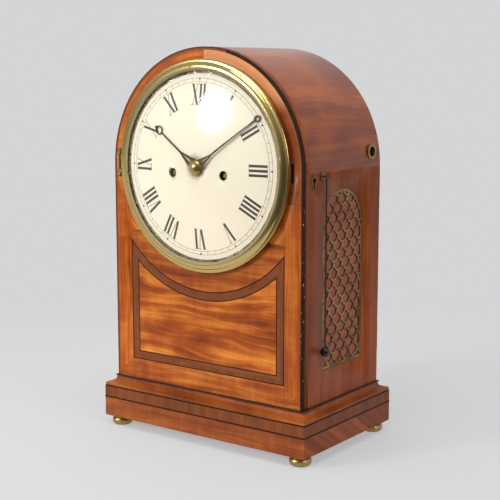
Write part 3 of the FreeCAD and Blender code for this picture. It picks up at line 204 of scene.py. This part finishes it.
satinLook = {
    "dark": tone(84, 26, 2), "middle": tone(170, 78, 10), "light": tone(236, 146, 44),
    "wander": 0.016, "fibreLength": 22.0, "fibreWidth": 900.0, "bandWidth": 120.0,
    "cloudLong": 14.0, "cloudWide": 34.0, "curlPitch": 120.0,
    "fibre": 0.7, "band": 1.25, "cloud": 0.9, "curl": 0.3,
}
figuredLook = dict(satinLook, cloudLong=15.0, cloudWide=34.0, cloud=1.35, curl=0.2, band=1.3, wander=0.045,
                   dark=tone(78, 26, 2), middle=tone(158, 72, 10), light=tone(230, 142, 46))
railLook = dict(satinLook, dark=tone(74, 24, 2), middle=tone(150, 68, 12), light=tone(214, 130, 46))
sideLook = dict(satinLook, dark=tone(68, 24, 2), middle=tone(136, 58, 8), light=tone(190, 102, 28), cloud=0.6,
                band=0.6, curl=0.1)
hoodLook = dict(sideLook, cloud=0.8, band=0.9)
plinthLook = dict(satinLook, dark=tone(70, 28, 8), middle=tone(132, 62, 20), light=tone(184, 104, 42), cloud=0.9,
                  band=0.8)
crossLook = dict(sideLook, dark=tone(62, 26, 8), middle=tone(114, 56, 18), light=tone(146, 82, 36), cloud=0.5)
innerBandLook = dict(crossLook, dark=tone(66, 34, 12), middle=tone(112, 60, 24), light=tone(148, 88, 42))
pineLook = dict(satinLook, dark=tone(110, 76, 46), middle=tone(150, 112, 72), light=tone(180, 140, 96), cloud=0.3)


def polish(finish, fibres, gloss):
    finish.put(Roughness=fibres * 0.1 + gloss["roughness"], Coat_Weight=gloss["coat"], Coat_Roughness=0.14)
    finish.put(Specular_IOR_Level=0.18)
    finish.bump(fibres, gloss["bump"], 0.0003)


frenchPolish = {"roughness": 0.4, "coat": 0.1, "bump": 0.12}
hoodPolish = {"roughness": 0.34, "coat": 0.6, "bump": 0.1}
plainWood = {"roughness": 0.62, "coat": 0.0, "bump": 0.4}


def makePlainWood(name, look, along, gloss):
    # one direction of grain over the whole piece
    finish = Finish(name)
    x, y, z = finish.axes()
    lengthwise = {"x": x, "y": y, "z": z}[along]
    sideways = {"x": z + y * 0.7, "y": z + x * 0.7, "z": y + x * 0.9}[along]
    colour, fibres = grainColour(finish, lengthwise, sideways, 1.7, look)
    finish.put(Base_Color=colour)
    polish(finish, fibres, gloss)
    return finish


panel = {
    "half": 104.5 * mm, "bottom": 81.0 * mm, "arc": 135.0 * mm, "stileTop": 272.0 * mm, "spandrelTop": 230.0 * mm,
    "caseBottom": 58.5 * mm, "caseHalf": 128.0 * mm, "nailHoles": (112.0 * mm, 120.3 * mm), "nailHeight": 284.0 * mm,
}


def makeFrontVeneer():
    # veneers laid as the maker cut them: two stiles, a mitred bottom rail, the arch in two, the field
    finish = Finish("satinwoodFront")
    x, y, z = finish.axes()
    wide = abs(x)
    up = z - dialMid[2]
    radius = (x * x + up * up) ** 0.5
    turn = finish.add("ShaderNodeMath", {"operation": "ARCTAN2"}, [x, up])
    mitre = (wide - panel["half"]) * (panel["bottom"] - panel["caseBottom"]) / (panel["caseHalf"] - panel["half"])
    railMask = (z < panel["bottom"]) * (mitre < (panel["bottom"] - z))
    stileMask = (wide > panel["half"]) * (z < panel["stileTop"]) * (1.0 - railMask)
    archMask = (z > panel["stileTop"]) + (z < panel["stileTop"]) * (z > panel["spandrelTop"]) * (wide < panel["half"])
    inField = (radius > panel["arc"]) * (wide < panel["half"]) * (z > panel["bottom"]) * (z < 0.24)
    stile, stileFibre = grainColour(finish, z, x, 2.3, satinLook)
    arch, archFibre = grainColour(finish, turn * 0.118, radius + (x > 0.0) * 0.4, 5.1, satinLook)
    rail, railFibre = grainColour(finish, x, z, 8.9, railLook)
    field, fieldFibre = grainColour(finish, x, z + 0.05, 4.4, figuredLook)
    colour = finish.blendColours(stileMask, rail, stile)
    colour = finish.blendColours(archMask, colour, arch)
    colour = finish.blendColours(inField, colour, field)
    # the top of the arch's right half is painted paler, as paler veneer with a painted sheen, and its foot carries
    # painted shade beside the bezel
    paleVeneerAndSheen = finish.smooth(z, 0.36, 0.385) * (x > 0.0) * 0.45
    colour = finish.blendColours(paleVeneerAndSheen * archMask, colour, tone(240, 176, 120))
    # painted shade on the arch's right foot, beside the bezel's right edge
    bezelShade = finish.smooth(x, 0.085, 0.112) * finish.smooth(0.0 - z, -0.385, -0.35) * archMask * 0.6
    colour = finish.blendColours(bezelShade, colour, tone(84, 36, 10))
    colour = finish.blendColours(stileMask * (x > 0.0) * 0.3, colour, tone(128, 58, 8))
    for holeX in panel["nailHoles"]:
        hole = ((x - holeX) ** 2.0 + (z - panel["nailHeight"]) ** 2.0) ** 0.5 < 0.9 * mm
        colour = finish.blendColours(hole, colour, tone(34, 18, 8))
    joints = abs(z - panel["stileTop"]) < 0.00035
    joints = joints + (abs(x) < 0.0003) * (z > 0.4) + (abs(wide - panel["half"]) < 0.0003) * (z < panel["spandrelTop"])
    joints = joints + (abs(mitre - panel["bottom"] + z) < 0.0003) * (z < panel["bottom"]) * (wide > panel["half"])
    colour = finish.blendColours(finish.smooth(joints, 0.0, 1.0) * 0.6, colour, tone(70, 34, 14))
    finish.put(Base_Color=colour)
    fibres = finish.choose(inField, finish.choose(stileMask, railFibre, stileFibre), fieldFibre)
    polish(finish, finish.choose(archMask, fibres, archFibre), frenchPolish)
    return finish


def makeBanding():
    # purple-brown crossbanding outside, paler inside, and the plinth's own band
    finish = Finish("crossbanding")
    x, y, z = finish.axes()
    wide = abs(x)
    up = z - dialMid[2]
    radius = (x * x + up * up) ** 0.5
    inset = (panel["half"] - wide).calc("MINIMUM", z - panel["bottom"]).calc("MINIMUM", radius - panel["arc"])
    inner = (inset > 5.65 * mm) * (z > 0.06)
    outerColour, fibres = grainColour(finish, z + y, x + y * 0.8, 3.3, crossLook)
    innerColour, innerFibre = grainColour(finish, x, z, 6.1, innerBandLook)
    finish.put(Base_Color=finish.blendColours(inner, outerColour, innerColour))
    polish(finish, fibres, frenchPolish)
    return finish


def makeMoulding():
    finish = Finish("mouldingWood")
    x, y, z = finish.axes()
    colour, fibres = grainColour(finish, x + y, z, 7.7, plinthLook)
    neck = z > panel["caseBottom"] - 1.3 * mm
    finish.put(Base_Color=finish.blendColours(neck, colour, tone(40, 26, 18)))
    polish(finish, fibres, frenchPolish)
    return finish


def makeEbony():
    # the line is rubbed brown along its inner side on the left of the arch and of the front
    finish = Finish("ebony")
    x, y, z = finish.axes()
    rub = finish.smooth(finish.noise(finish.place(), 160.0, 5.0, 0.7), 0.56, 0.75)
    rise = (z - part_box("arch_hood")[0][2]).calc("MAXIMUM", 0.0)
    rim = (x * x + rise * rise) ** 0.5
    line = (rim > panel["caseHalf"] - 3.4 * mm) * (z > panel["caseBottom"])
    worn = line * (rim < panel["caseHalf"] - 1.0 * mm) * (x < 0.03)
    chips = line * (x > 0.12) * (z < 0.27) * finish.smooth(finish.noise(finish.place(), 260.0, 2.0, 0.6), 0.62, 0.68)
    colour = finish.blendColours(rub * 0.6, tone(30, 18, 12), tone(104, 60, 32))
    colour = finish.blendColours(chips * 0.8, colour, tone(178, 150, 112))
    finish.put(Base_Color=finish.blendColours(worn * 0.85, colour, tone(140, 70, 22)))
    finish.put(Roughness=rub * 0.2 + 0.5, Specular_IOR_Level=0.12)
    return finish


# ---- metals ----
def makeMetal(name, bright, dull, roughness, age):
    finish = Finish(name)
    cloud = finish.noise(finish.place(), 28.0, 5.0, 0.6)
    speck = finish.noise(finish.place(), 420.0, 3.0, 0.6)
    tarnish = finish.smooth(cloud * 0.7 + speck * 0.3, 0.62 - age * 0.3, 0.8 - age * 0.15) * age
    finish.put(Base_Color=finish.blendColours(tarnish, bright, dull), Metallic=1.0)
    finish.put(Roughness=tarnish * 0.25 + cloud * 0.06 + roughness)
    finish.bump(speck, 0.05, 0.0002)
    return finish


def makeBezelGilt():
    # bright on the slope that hands polish, dull down the inner lip
    finish = Finish("bezelGilt")
    x, y, z = finish.axes()
    up = z - dialMid[2]
    lip = (x * x + up * up) ** 0.5 < bezelLook["lip"]
    cloud = finish.noise(finish.place(), 28.0, 5.0, 0.6)
    speck = finish.noise(finish.place(), 420.0, 3.0, 0.6)
    tarnish = finish.smooth(cloud * 0.7 + speck * 0.3, 0.5, 0.74) * 0.4
    colour = finish.blendColours(tarnish, bezelLook["bright"], bezelLook["dull"])
    colour = finish.blendColours(lip, colour, bezelLook["inside"])
    finish.put(Base_Color=colour, Metallic=1.0 - lip * 0.6, Roughness=tarnish * 0.25 + lip * 0.4 + 0.2)
    finish.bump(speck, 0.05, 0.0002)
    return finish


bezelLook = {"lip": 104.4 * mm, "bright": tone(214, 190, 120), "dull": tone(128, 106, 58),
             "inside": tone(150, 134, 92)}


def makeDialPaint():
    finish = Finish("dialPaint")
    x, y, z = finish.axes()
    stain = finish.noise(finish.place(), 16.0, 4.0, 0.6)
    fine = finish.noise(finish.place(), 190.0, 3.0, 0.6)
    # the dial's lower part is painted pinker and paler, a pinker tone from age, with painted light against the shade
    # where the dome turns from the lamp
    low = finish.smooth(0.0 - z, -0.33, -0.2)
    colour = finish.blendColours(low * 0.5 + stain * 0.25, tone(245, 236, 213), tone(255, 237, 214))
    colour = finish.blendColours(finish.smooth(fine, 0.66, 0.8) * 0.3, colour, tone(216, 200, 170))
    finish.put(Base_Color=colour, Roughness=stain * 0.12 + 0.42, Specular_IOR_Level=0.25)
    finish.bump(fine, 0.04, 0.0002)
    return finish


def makeFlat(name, colour, second, roughness, scale=120.0):
    finish = Finish(name)
    cloud = finish.noise(finish.place(), scale, 4.0, 0.6)
    finish.put(Base_Color=finish.blendColours(cloud, colour, second), Roughness=cloud * 0.15 + roughness)
    return finish


def makeGlass(name, reach):
    # clear in the middle, more mirror towards the edge, as old crown glass is
    finish = Finish(name)
    finish.put(Base_Color=tone(255, 255, 255), Metallic=1.0, Roughness=0.09)
    clear = finish.add("ShaderNodeBsdfTransparent", {}, {"Color": (0.992, 0.995, 0.99, 1.0)})
    slant = finish.add("ShaderNodeLayerWeight", {}, {"Blend": 0.5}, "Facing")
    share = slant ** 5.0 * 0.4 + 0.025
    both = finish.add("ShaderNodeMixShader", {}, [share * reach, clear, Wire(finish, finish.shader.outputs[0])])
    finish.feed(finish.tree.nodes["Material Output"].inputs["Surface"], both)
    return finish


def makeSilk():
    finish = Finish("silk")
    x, y, z = finish.axes()
    weave = finish.add("ShaderNodeTexWave", {}, {"Vector": finish.vector(y * 1.0, z, 0.0), "Scale": 900.0, "Distortion": 1.0})
    fade = finish.noise(finish.place(), 24.0, 4.0, 0.6)
    colour = finish.blendColours(fade, tone(170, 78, 70), tone(196, 108, 98))
    colour = finish.blendColours(weave * 0.2, colour, tone(120, 44, 40))
    finish.put(Base_Color=colour, Roughness=0.75)
    finish.bump(weave, 0.3, 0.0002)
    return finish


looks = {
    "satinwoodFront": makeFrontVeneer(),
    "sideWood": makePlainWood("sideWood", sideLook, "z", frenchPolish),
    "hoodWood": makePlainWood("hoodWood", hoodLook, "y", hoodPolish),
    "plinthWood": makePlainWood("plinthWood", plinthLook, "x", frenchPolish),
    "mouldingWood": makeMoulding(),
    "crossbanding": makeBanding(),
    "ebony": makeEbony(),
    "pine": makePlainWood("pine", pineLook, "x", plainWood),
    "gilt": makeMetal("gilt", tone(214, 190, 120), tone(128, 106, 58), 0.2, 0.4),
    "brass": makeMetal("brass", tone(190, 160, 96), tone(112, 88, 48), 0.26, 0.5),
    "footBrass": makeMetal("footBrass", tone(176, 148, 92), tone(92, 72, 44), 0.3, 0.6),
    "sightSilver": makeFlat("sightSilver", tone(190, 182, 160), tone(150, 138, 110), 0.4, 60.0),
    "bezelGilt": makeBezelGilt(),
    "oldBrass": makeMetal("oldBrass", tone(150, 132, 80), tone(74, 62, 38), 0.34, 0.8),
    "steel": makeMetal("steel", tone(176, 178, 182), tone(112, 108, 104), 0.26, 0.4),
    "bellMetal": makeMetal("bellMetal", tone(196, 170, 120), tone(120, 98, 64), 0.2, 0.3),
    "bronzed": makeMetal("bronzed", tone(96, 78, 58), tone(50, 38, 28), 0.4, 0.5),
    "dialPaint": makeDialPaint(),
    "dialInk": makeFlat("dialInk", tone(52, 44, 40), tone(82, 70, 62), 0.45),
    "bezelGlass": makeGlass("bezelGlass", 1.0),
    "doorGlass": makeGlass("doorGlass", 1.2),
    "silk": makeSilk(),
    "gut": makeFlat("gut", tone(176, 138, 84), tone(140, 100, 54), 0.5),
    "twine": makeFlat("twine", tone(62, 50, 42), tone(34, 27, 23), 0.8, 900.0),
    "jet": makeFlat("jet", tone(14, 12, 12), tone(24, 20, 19), 0.12, 40.0),
}
lookOfSlot = {
    "satinwood": "sideWood", "mahogany": "crossbanding", "ebony": "ebony", "pine": "pine", "brass": "brass",
    "old_brass": "oldBrass", "gilt": "gilt", "steel": "steel", "bell_metal": "bellMetal", "painted_dial": "dialPaint",
    "bronzed": "bronzed", "crown_glass": "doorGlass", "silk": "silk", "gut": "gut", "twine": "twine",
    "ebonised": "jet",
}
lookOfNode = {
    "front_veneer": "satinwoodFront", "arch_hood": "hoodWood", "plinth": "plinthWood",
    "base_moulding": "mouldingWood", "bezel_glass": "bezelGlass", "front_board": "sideWood",
    "hinge_leaves": "oldBrass", "side_brasses": "oldBrass", "feet": "footBrass", "sight_ring": "sightSilver",
    "bezel": "bezelGilt",
}
print("finishes made")


# ---- carried-over nodes, with smooth curves ----
modelled = ["side_silks", "repeat_cord", "repeat_ball"]


def smoothNode(node, degrees=33.0):
    source = frame["nodes"][node]
    piece = source.copy()
    piece.data = source.data.copy()
    piece.name = node + "_finished"
    bpy.context.collection.objects.link(piece)
    clearSelection()
    piece.select_set(True)
    bpy.context.view_layer.objects.active = piece
    bpy.ops.object.mode_set(mode="EDIT")
    bpy.ops.mesh.select_all(action="SELECT")
    bpy.ops.mesh.remove_doubles(threshold=0.002 * mm)
    bpy.ops.object.mode_set(mode="OBJECT")
    bpy.ops.object.shade_smooth_by_angle(angle=math.radians(degrees))
    look = lookOfNode.get(node, lookOfSlot[slotOf[node]])
    return finishUp(piece, bodyOf[node], looks[look].material, [node])


def roundHood(piece):
    # the arch's own normals, so that its few long faces don't streak beside the bush
    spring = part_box("arch_hood")[0][2]
    normals = []
    for face in piece.data.polygons:
        for corner in face.vertices:
            spot = piece.data.vertices[corner].co
            radial = (spot.x, 0.0, spot.z - spring)
            reach = math.hypot(radial[0], radial[2])
            along = (face.normal.x * radial[0] + face.normal.z * radial[2]) / reach
            if abs(along) > hood["faces"]:
                normals.append([math.copysign(1.0, along) * part / reach for part in radial])
            else:
                normals.append(tuple(face.normal))
    piece.data.normals_split_custom_set(normals)


hood = {"faces": 0.95}
for node in sorted(frame["nodes"]):
    if node not in modelled:
        finished = smoothNode(node)
        if node == "arch_hood":
            roundHood(finished)
print("nodes finished")


# ---- dial marks ----
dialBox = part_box("dial")
marks = {
    "radius": (dialBox[1][0] - dialBox[0][0]) / 2, "crownY": dialBox[0][1], "rise": 7.0 * mm,
    "lift": 0.06 * mm, "thick": 0.05 * mm, "steps": 6,
    "inner": 66.0 * mm, "outer": 87.6 * mm, "bar": 2.7 * mm, "hairline": 0.55 * mm,
    "trackIn": 89.9 * mm, "trackOut": 93.8 * mm, "trackLine": 0.3 * mm, "tick": 0.3 * mm, "dotAt": 93.2 * mm,
    "dot": 1.9 * mm,
}
letterWidth = {"I": 4.9 * mm, "V": 9.6 * mm, "X": 9.6 * mm}
numerals = ["XII", "I", "II", "III", "IIII", "V", "VI", "VII", "VIII", "IX", "X", "XI"]


def dialY(radius):
    sphere = (marks["radius"] ** 2 + marks["rise"] ** 2) / (2 * marks["rise"])
    return marks["crownY"] + sphere - math.sqrt(sphere ** 2 - radius ** 2) - marks["lift"]


def addStroke(foot, head, width):
    # a painted stroke between two (aside, radius) points, with ends square to the radius
    bpy.ops.mesh.primitive_grid_add(x_subdivisions=1, y_subdivisions=marks["steps"], size=1)
    stroke = bpy.context.object
    for vertex in stroke.data.vertices:
        share = vertex.co.y + 0.5
        aside = foot[0] + (head[0] - foot[0]) * share + vertex.co.x * width
        vertex.co = (aside, 0.0, foot[1] + (head[1] - foot[1]) * share)
    return stroke


def pressOn(strokes, degrees):
    # turns flat strokes to their place round the dial and lays them on its dome
    turn = math.radians(degrees)
    for stroke in strokes:
        for vertex in stroke.data.vertices:
            aside, level, radius = vertex.co
            x = radius * math.sin(turn) + aside * math.cos(turn)
            z = radius * math.cos(turn) - aside * math.sin(turn)
            vertex.co = (dialMid[0] + x, dialY(math.hypot(x, z)), dialMid[2] + z)
    return strokes


def numeralStrokes(text):
    low, high, bar, thin = marks["inner"], marks["outer"], marks["bar"], marks["hairline"]
    start = -sum(letterWidth[letter] for letter in text) / 2
    strokes = []
    for letter in text:
        wide = letterWidth[letter]
        middle = start + wide / 2
        reach = wide / 2 - bar * 0.6
        if letter == "I":
            strokes.append(addStroke((middle, low), (middle, high), bar))
            ends = [(middle, low), (middle, high)]
        elif letter == "V":
            strokes.append(addStroke((middle, low), (middle - reach, high), bar))
            strokes.append(addStroke((middle + bar * 0.3, low), (middle + reach, high), thin))
            ends = [(middle - reach, high), (middle + reach, high)]
        else:
            strokes.append(addStroke((middle + reach, low), (middle - reach, high), bar))
            strokes.append(addStroke((middle - reach, low), (middle + reach, high), thin))
            ends = [(middle - reach, low), (middle + reach, low), (middle - reach, high), (middle + reach, high)]
        for aside, radius in ends:
            strokes.append(addStroke((aside, radius - thin / 2), (aside, radius + thin / 2), bar * 1.55))
        start += wide
    return strokes


def addRing(radius, width):
    # a band bent round into a ring from a long grid
    bpy.ops.mesh.primitive_grid_add(x_subdivisions=240, y_subdivisions=1, size=1)
    ring = bpy.context.object
    for vertex in ring.data.vertices:
        turn = 2 * math.pi * vertex.co.x
        reach = radius + width * vertex.co.y
        vertex.co = (dialMid[0] + reach * math.sin(turn), dialY(reach), dialMid[2] + reach * math.cos(turn))
    return ring


def makeDialMarks():
    clearSelection()
    strokes = []
    for hour, text in enumerate(numerals):
        strokes += pressOn(numeralStrokes(text), 30 * hour)
        dot = addStroke((0, marks["dotAt"] - marks["dot"] / 2), (0, marks["dotAt"] + marks["dot"] / 2), marks["dot"])
        strokes += pressOn([dot], 30 * hour)
    for minute in range(60):
        tick = addStroke((0, marks["trackIn"]), (0, marks["trackOut"]), marks["tick"])
        strokes += pressOn([tick], 6 * minute)
    for radius in (marks["trackIn"], marks["trackOut"]):
        strokes.append(addRing(radius, marks["trackLine"]))
    clearSelection()
    for stroke in strokes:
        stroke.select_set(True)
    piece = strokes[0]
    bpy.context.view_layer.objects.active = piece
    bpy.ops.object.join()
    piece.name = "dial_marks"
    bpy.ops.object.mode_set(mode="EDIT")
    bpy.ops.mesh.select_all(action="SELECT")
    bpy.ops.mesh.remove_doubles(threshold=0.002 * mm)
    bpy.ops.mesh.normals_make_consistent(inside=False)
    bpy.ops.object.mode_set(mode="OBJECT")
    solid = piece.modifiers.new("thickness", "SOLIDIFY")
    solid.thickness = marks["thick"]
    solid.offset = 0.0
    bpy.ops.object.modifier_apply(modifier=solid.name)
    return finishUp(piece, "case", looks["dialInk"].material)


makeDialMarks()
print("dial marked")


# ---- silks behind the frets ----
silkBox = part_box("side_silks")
silk = {"halfDeep": (silkBox[1][1] - silkBox[0][1]) / 2, "midY": (silkBox[1][1] + silkBox[0][1]) / 2,
        "low": silkBox[0][2], "high": silkBox[1][2], "ripple": 0.16 * mm, "pleats": 26, "back": 0.3 * mm}


def makeSilkSheet(name, side):
    bpy.ops.mesh.primitive_grid_add(x_subdivisions=156, y_subdivisions=90, size=1)
    piece = bpy.context.object
    piece.name = name
    spring = silk["high"] - silk["halfDeep"]
    x = side * (silkBox[1][0] - silk["back"])
    for vertex in piece.data.vertices:
        across, up = vertex.co.x * 2, vertex.co.y + 0.5
        z = silk["low"] + (silk["high"] - silk["low"]) * up
        half = silk["halfDeep"]
        if z > spring:
            half = math.sqrt(max(half ** 2 - (z - spring) ** 2, (0.5 * mm) ** 2))
        ripple = silk["ripple"] * math.sin(across * half / silk["halfDeep"] * math.pi * silk["pleats"])
        ripple *= 0.75 + 0.25 * math.sin(9.0 * up + 2.0 * across)
        vertex.co = (x + ripple, silk["midY"] + across * half, z)
    clearSelection()
    piece.select_set(True)
    bpy.context.view_layer.objects.active = piece
    bpy.ops.object.shade_smooth()
    finishUp(piece, "case", looks["silk"].material, ["side_silks"])
    width, height = 2 * silk["halfDeep"], silk["high"] - silk["low"]
    area = width * (height - silk["halfDeep"]) + math.pi * silk["halfDeep"] ** 2 / 2
    return piece


makeSilkSheet("silk_right", 1)
makeSilkSheet("silk_left", -1)
print("silks hung")


# ---- repeat cord and its ball ----
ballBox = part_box("repeat_ball")
cord = {"radius": 0.8 * mm, "outX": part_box("side_brasses")[1][0], "topZ": 299.4 * mm, "bend": 4.0 * mm,
        "y": (ballBox[0][1] + ballBox[1][1]) / 2, "x": (ballBox[0][0] + ballBox[1][0]) / 2,
        "endZ": ballBox[1][2] - 0.35 * mm}


def makeBall():
    radius = (ballBox[1][0] - ballBox[0][0]) / 2
    middle = (cord["x"], cord["y"], (ballBox[0][2] + ballBox[1][2]) / 2)
    bpy.ops.mesh.primitive_uv_sphere_add(segments=48, ring_count=32, radius=radius, location=(0, 0, 0))
    piece = bpy.context.object
    piece.name = "cord_ball"
    for face in piece.data.polygons:
        face.select = face.center.z > radius * 0.975
    bpy.ops.object.mode_set(mode="EDIT")
    bpy.ops.mesh.select_mode(type="FACE")
    bpy.ops.mesh.extrude_region_move(TRANSFORM_OT_translate={"value": (0, 0, -0.6 * mm)})
    bpy.ops.object.mode_set(mode="OBJECT")
    for vertex in piece.data.vertices:
        vertex.co = [place + part for place, part in zip(middle, vertex.co)]
    bpy.ops.object.shade_smooth_by_angle(angle=math.radians(40))
    return finishUp(piece, "repeat_pull", looks["jet"].material, ["repeat_ball"])


def makeCord(ball):
    curve = bpy.data.curves.new("repeatCordLine", "CURVE")
    curve.dimensions = "3D"
    curve.resolution_u = 16
    spline = curve.splines.new("NURBS")
    route = [(cord["outX"], cord["y"], cord["topZ"]), (cord["x"], cord["y"], cord["topZ"]),
             (cord["x"], cord["y"], cord["topZ"] - cord["bend"]), (cord["x"], cord["y"], cord["endZ"])]
    spline.points.add(len(route) - 1)
    for point, spot in zip(spline.points, route):
        point.co = (*spot, 1.0)
    spline.order_u = 3
    spline.use_endpoint_u = True
    line = bpy.data.objects.new("repeatCordLine", curve)
    bpy.context.collection.objects.link(line)
    path = [tuple(vertex.co) for vertex in bpy.data.meshes.new_from_object(line).vertices]
    curve.bevel_depth = cord["radius"]
    curve.bevel_resolution = 4
    curve.use_fill_caps = True
    clearSelection()
    line.select_set(True)
    bpy.context.view_layer.objects.active = line
    bpy.ops.object.convert(target="MESH")
    piece = bpy.context.object
    piece.name = "repeat_cord_run"
    bpy.ops.object.shade_smooth_by_angle(angle=math.radians(50))
    piece.data.materials.append(looks["twine"].material)
    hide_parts("repeat_cord")
    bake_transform(piece)
    return piece


makeCord(makeBall())
print("cord hung")


# ---- camera, lights and stage ----
view = {"x": 774.57 * mm, "y": -976.61 * mm, "z": 408.24 * mm, "yaw": 36.17, "pitch": 8.80, "roll": 0.19,
        "focal": 1170.16, "sensor": 36.0, "pixels": 500.0}
backdrop = tone(212, 213, 214)


def makeCamera():
    lens = bpy.data.cameras.new("camera")
    lens.sensor_width = view["sensor"]
    lens.lens = view["focal"] * view["sensor"] / view["pixels"]
    camera = bpy.data.objects.new("camera", lens)
    bpy.context.collection.objects.link(camera)
    camera.location = (view["x"], view["y"] + frontY, view["z"])
    camera.rotation_mode = "YXZ"
    camera.rotation_euler = (math.radians(90 - view["pitch"]), 0.0, math.radians(view["yaw"]))
    bpy.context.scene.camera = camera


def addSoftbox(name, spot, aim, size, power, colour=(1.0, 1.0, 1.0)):
    lamp = bpy.data.lights.new(name, "AREA")
    lamp.shape = "DISK"
    lamp.size = size
    lamp.energy = power
    lamp.color = colour
    holder = bpy.data.objects.new(name, lamp)
    bpy.context.collection.objects.link(holder)
    holder.location = spot
    run = [a - b for a, b in zip(aim, spot)]
    level = math.hypot(run[0], run[1])
    holder.rotation_euler = (math.atan2(level, -run[2]), 0.0, math.atan2(run[1], run[0]) - math.pi / 2)


def lightPaths(finish):
    # rays that show the backdrop: straight or through glass, and off a gloss
    camera = finish.add("ShaderNodeLightPath", {}, {}, "Is Camera Ray")
    through, glossy = (Wire(finish, camera.socket.node.outputs[name])
                       for name in ("Is Transmission Ray", "Is Glossy Ray"))
    return camera + through, glossy


def makeStage():
    world = bpy.data.worlds.new("studio")
    bpy.context.scene.world = world
    world.use_nodes = True
    sky = Finish("sky", world.node_tree)
    direct, glossy = lightPaths(sky)
    output = world.node_tree.nodes["World Output"].inputs["Surface"]
    heading = sky.add("ShaderNodeTexCoord", {}, {}, "Generated")
    side = sky.add("ShaderNodeVectorMath", {"operation": "DOT_PRODUCT"}, [heading, (-0.4, -0.3, 0.866)], "Value")
    # brass and polish show the pale backdrop behind the clock, and a dimmer room before it
    behind = sky.add("ShaderNodeVectorMath", {"operation": "DOT_PRODUCT"}, [heading, (0.0, 1.0, 0.0)], "Value")
    room = sky.smooth(behind, 0.0, 0.4).calc("MAXIMUM", sky.smooth(side, 0.0, 0.9) * 0.55 + 0.12)
    seen = sky.add("ShaderNodeBackground", {}, {"Color": backdrop, "Strength": sky.choose(glossy, 1.0, room)})
    light = sky.add("ShaderNodeBackground", {}, {
        "Color": (1.0, 0.99, 0.97, 1.0), "Strength": sky.smooth(side, 0.0, 0.85) * 0.95 + 0.1})
    shown = (direct + glossy).calc("MINIMUM", 1.0)
    sky.feed(output, sky.add("ShaderNodeMixShader", {}, [shown, light, seen]))
    clearSelection()
    bpy.ops.mesh.primitive_plane_add(size=12.0, location=(0, 0, 0))
    floor = bpy.context.object
    floor.name = "floor"
    ground = Finish("floorPaper")
    x, y, z = ground.axes()
    far = ground.smooth((x * x + y * y) ** 0.5, 0.35, 0.9)
    direct, glossy = lightPaths(ground)
    edge = ground.smooth(x * 0.59 - y * 0.807, 0.26, 0.42)
    unseen = edge * (1.0 - direct)
    ground.put(Base_Color=ground.blendColours(unseen, tone(206, 207, 209), tone(52, 50, 48)), Roughness=0.9)
    glow = ground.add("ShaderNodeEmission", {}, {"Color": backdrop, "Strength": 1.0})
    share = (direct + glossy * (1.0 - edge)).calc("MINIMUM", 1.0) * (far * 0.4 + 0.6)
    both = ground.add("ShaderNodeMixShader", {}, [share, Wire(ground, ground.shader.outputs[0]), glow])
    ground.feed(ground.tree.nodes["Material Output"].inputs["Surface"], both)
    floor.data.materials.append(ground.material)


makeCamera()
makeStage()
addSoftbox("keyLight", (-0.93, -1.77, 0.95), (0.0, -0.05, 0.3), 0.62, 25.0)
addSoftbox("topLight", (0.3, -0.6, 2.2), (0.0, 0.0, 0.2), 1.4, 16.0)
addSoftbox("sideLight", (2.2, -0.3, 1.0), (0.1, 0.0, 0.2), 1.0, 11.0)
bpy.context.scene.view_settings.view_transform = "Standard"
print("stage set")
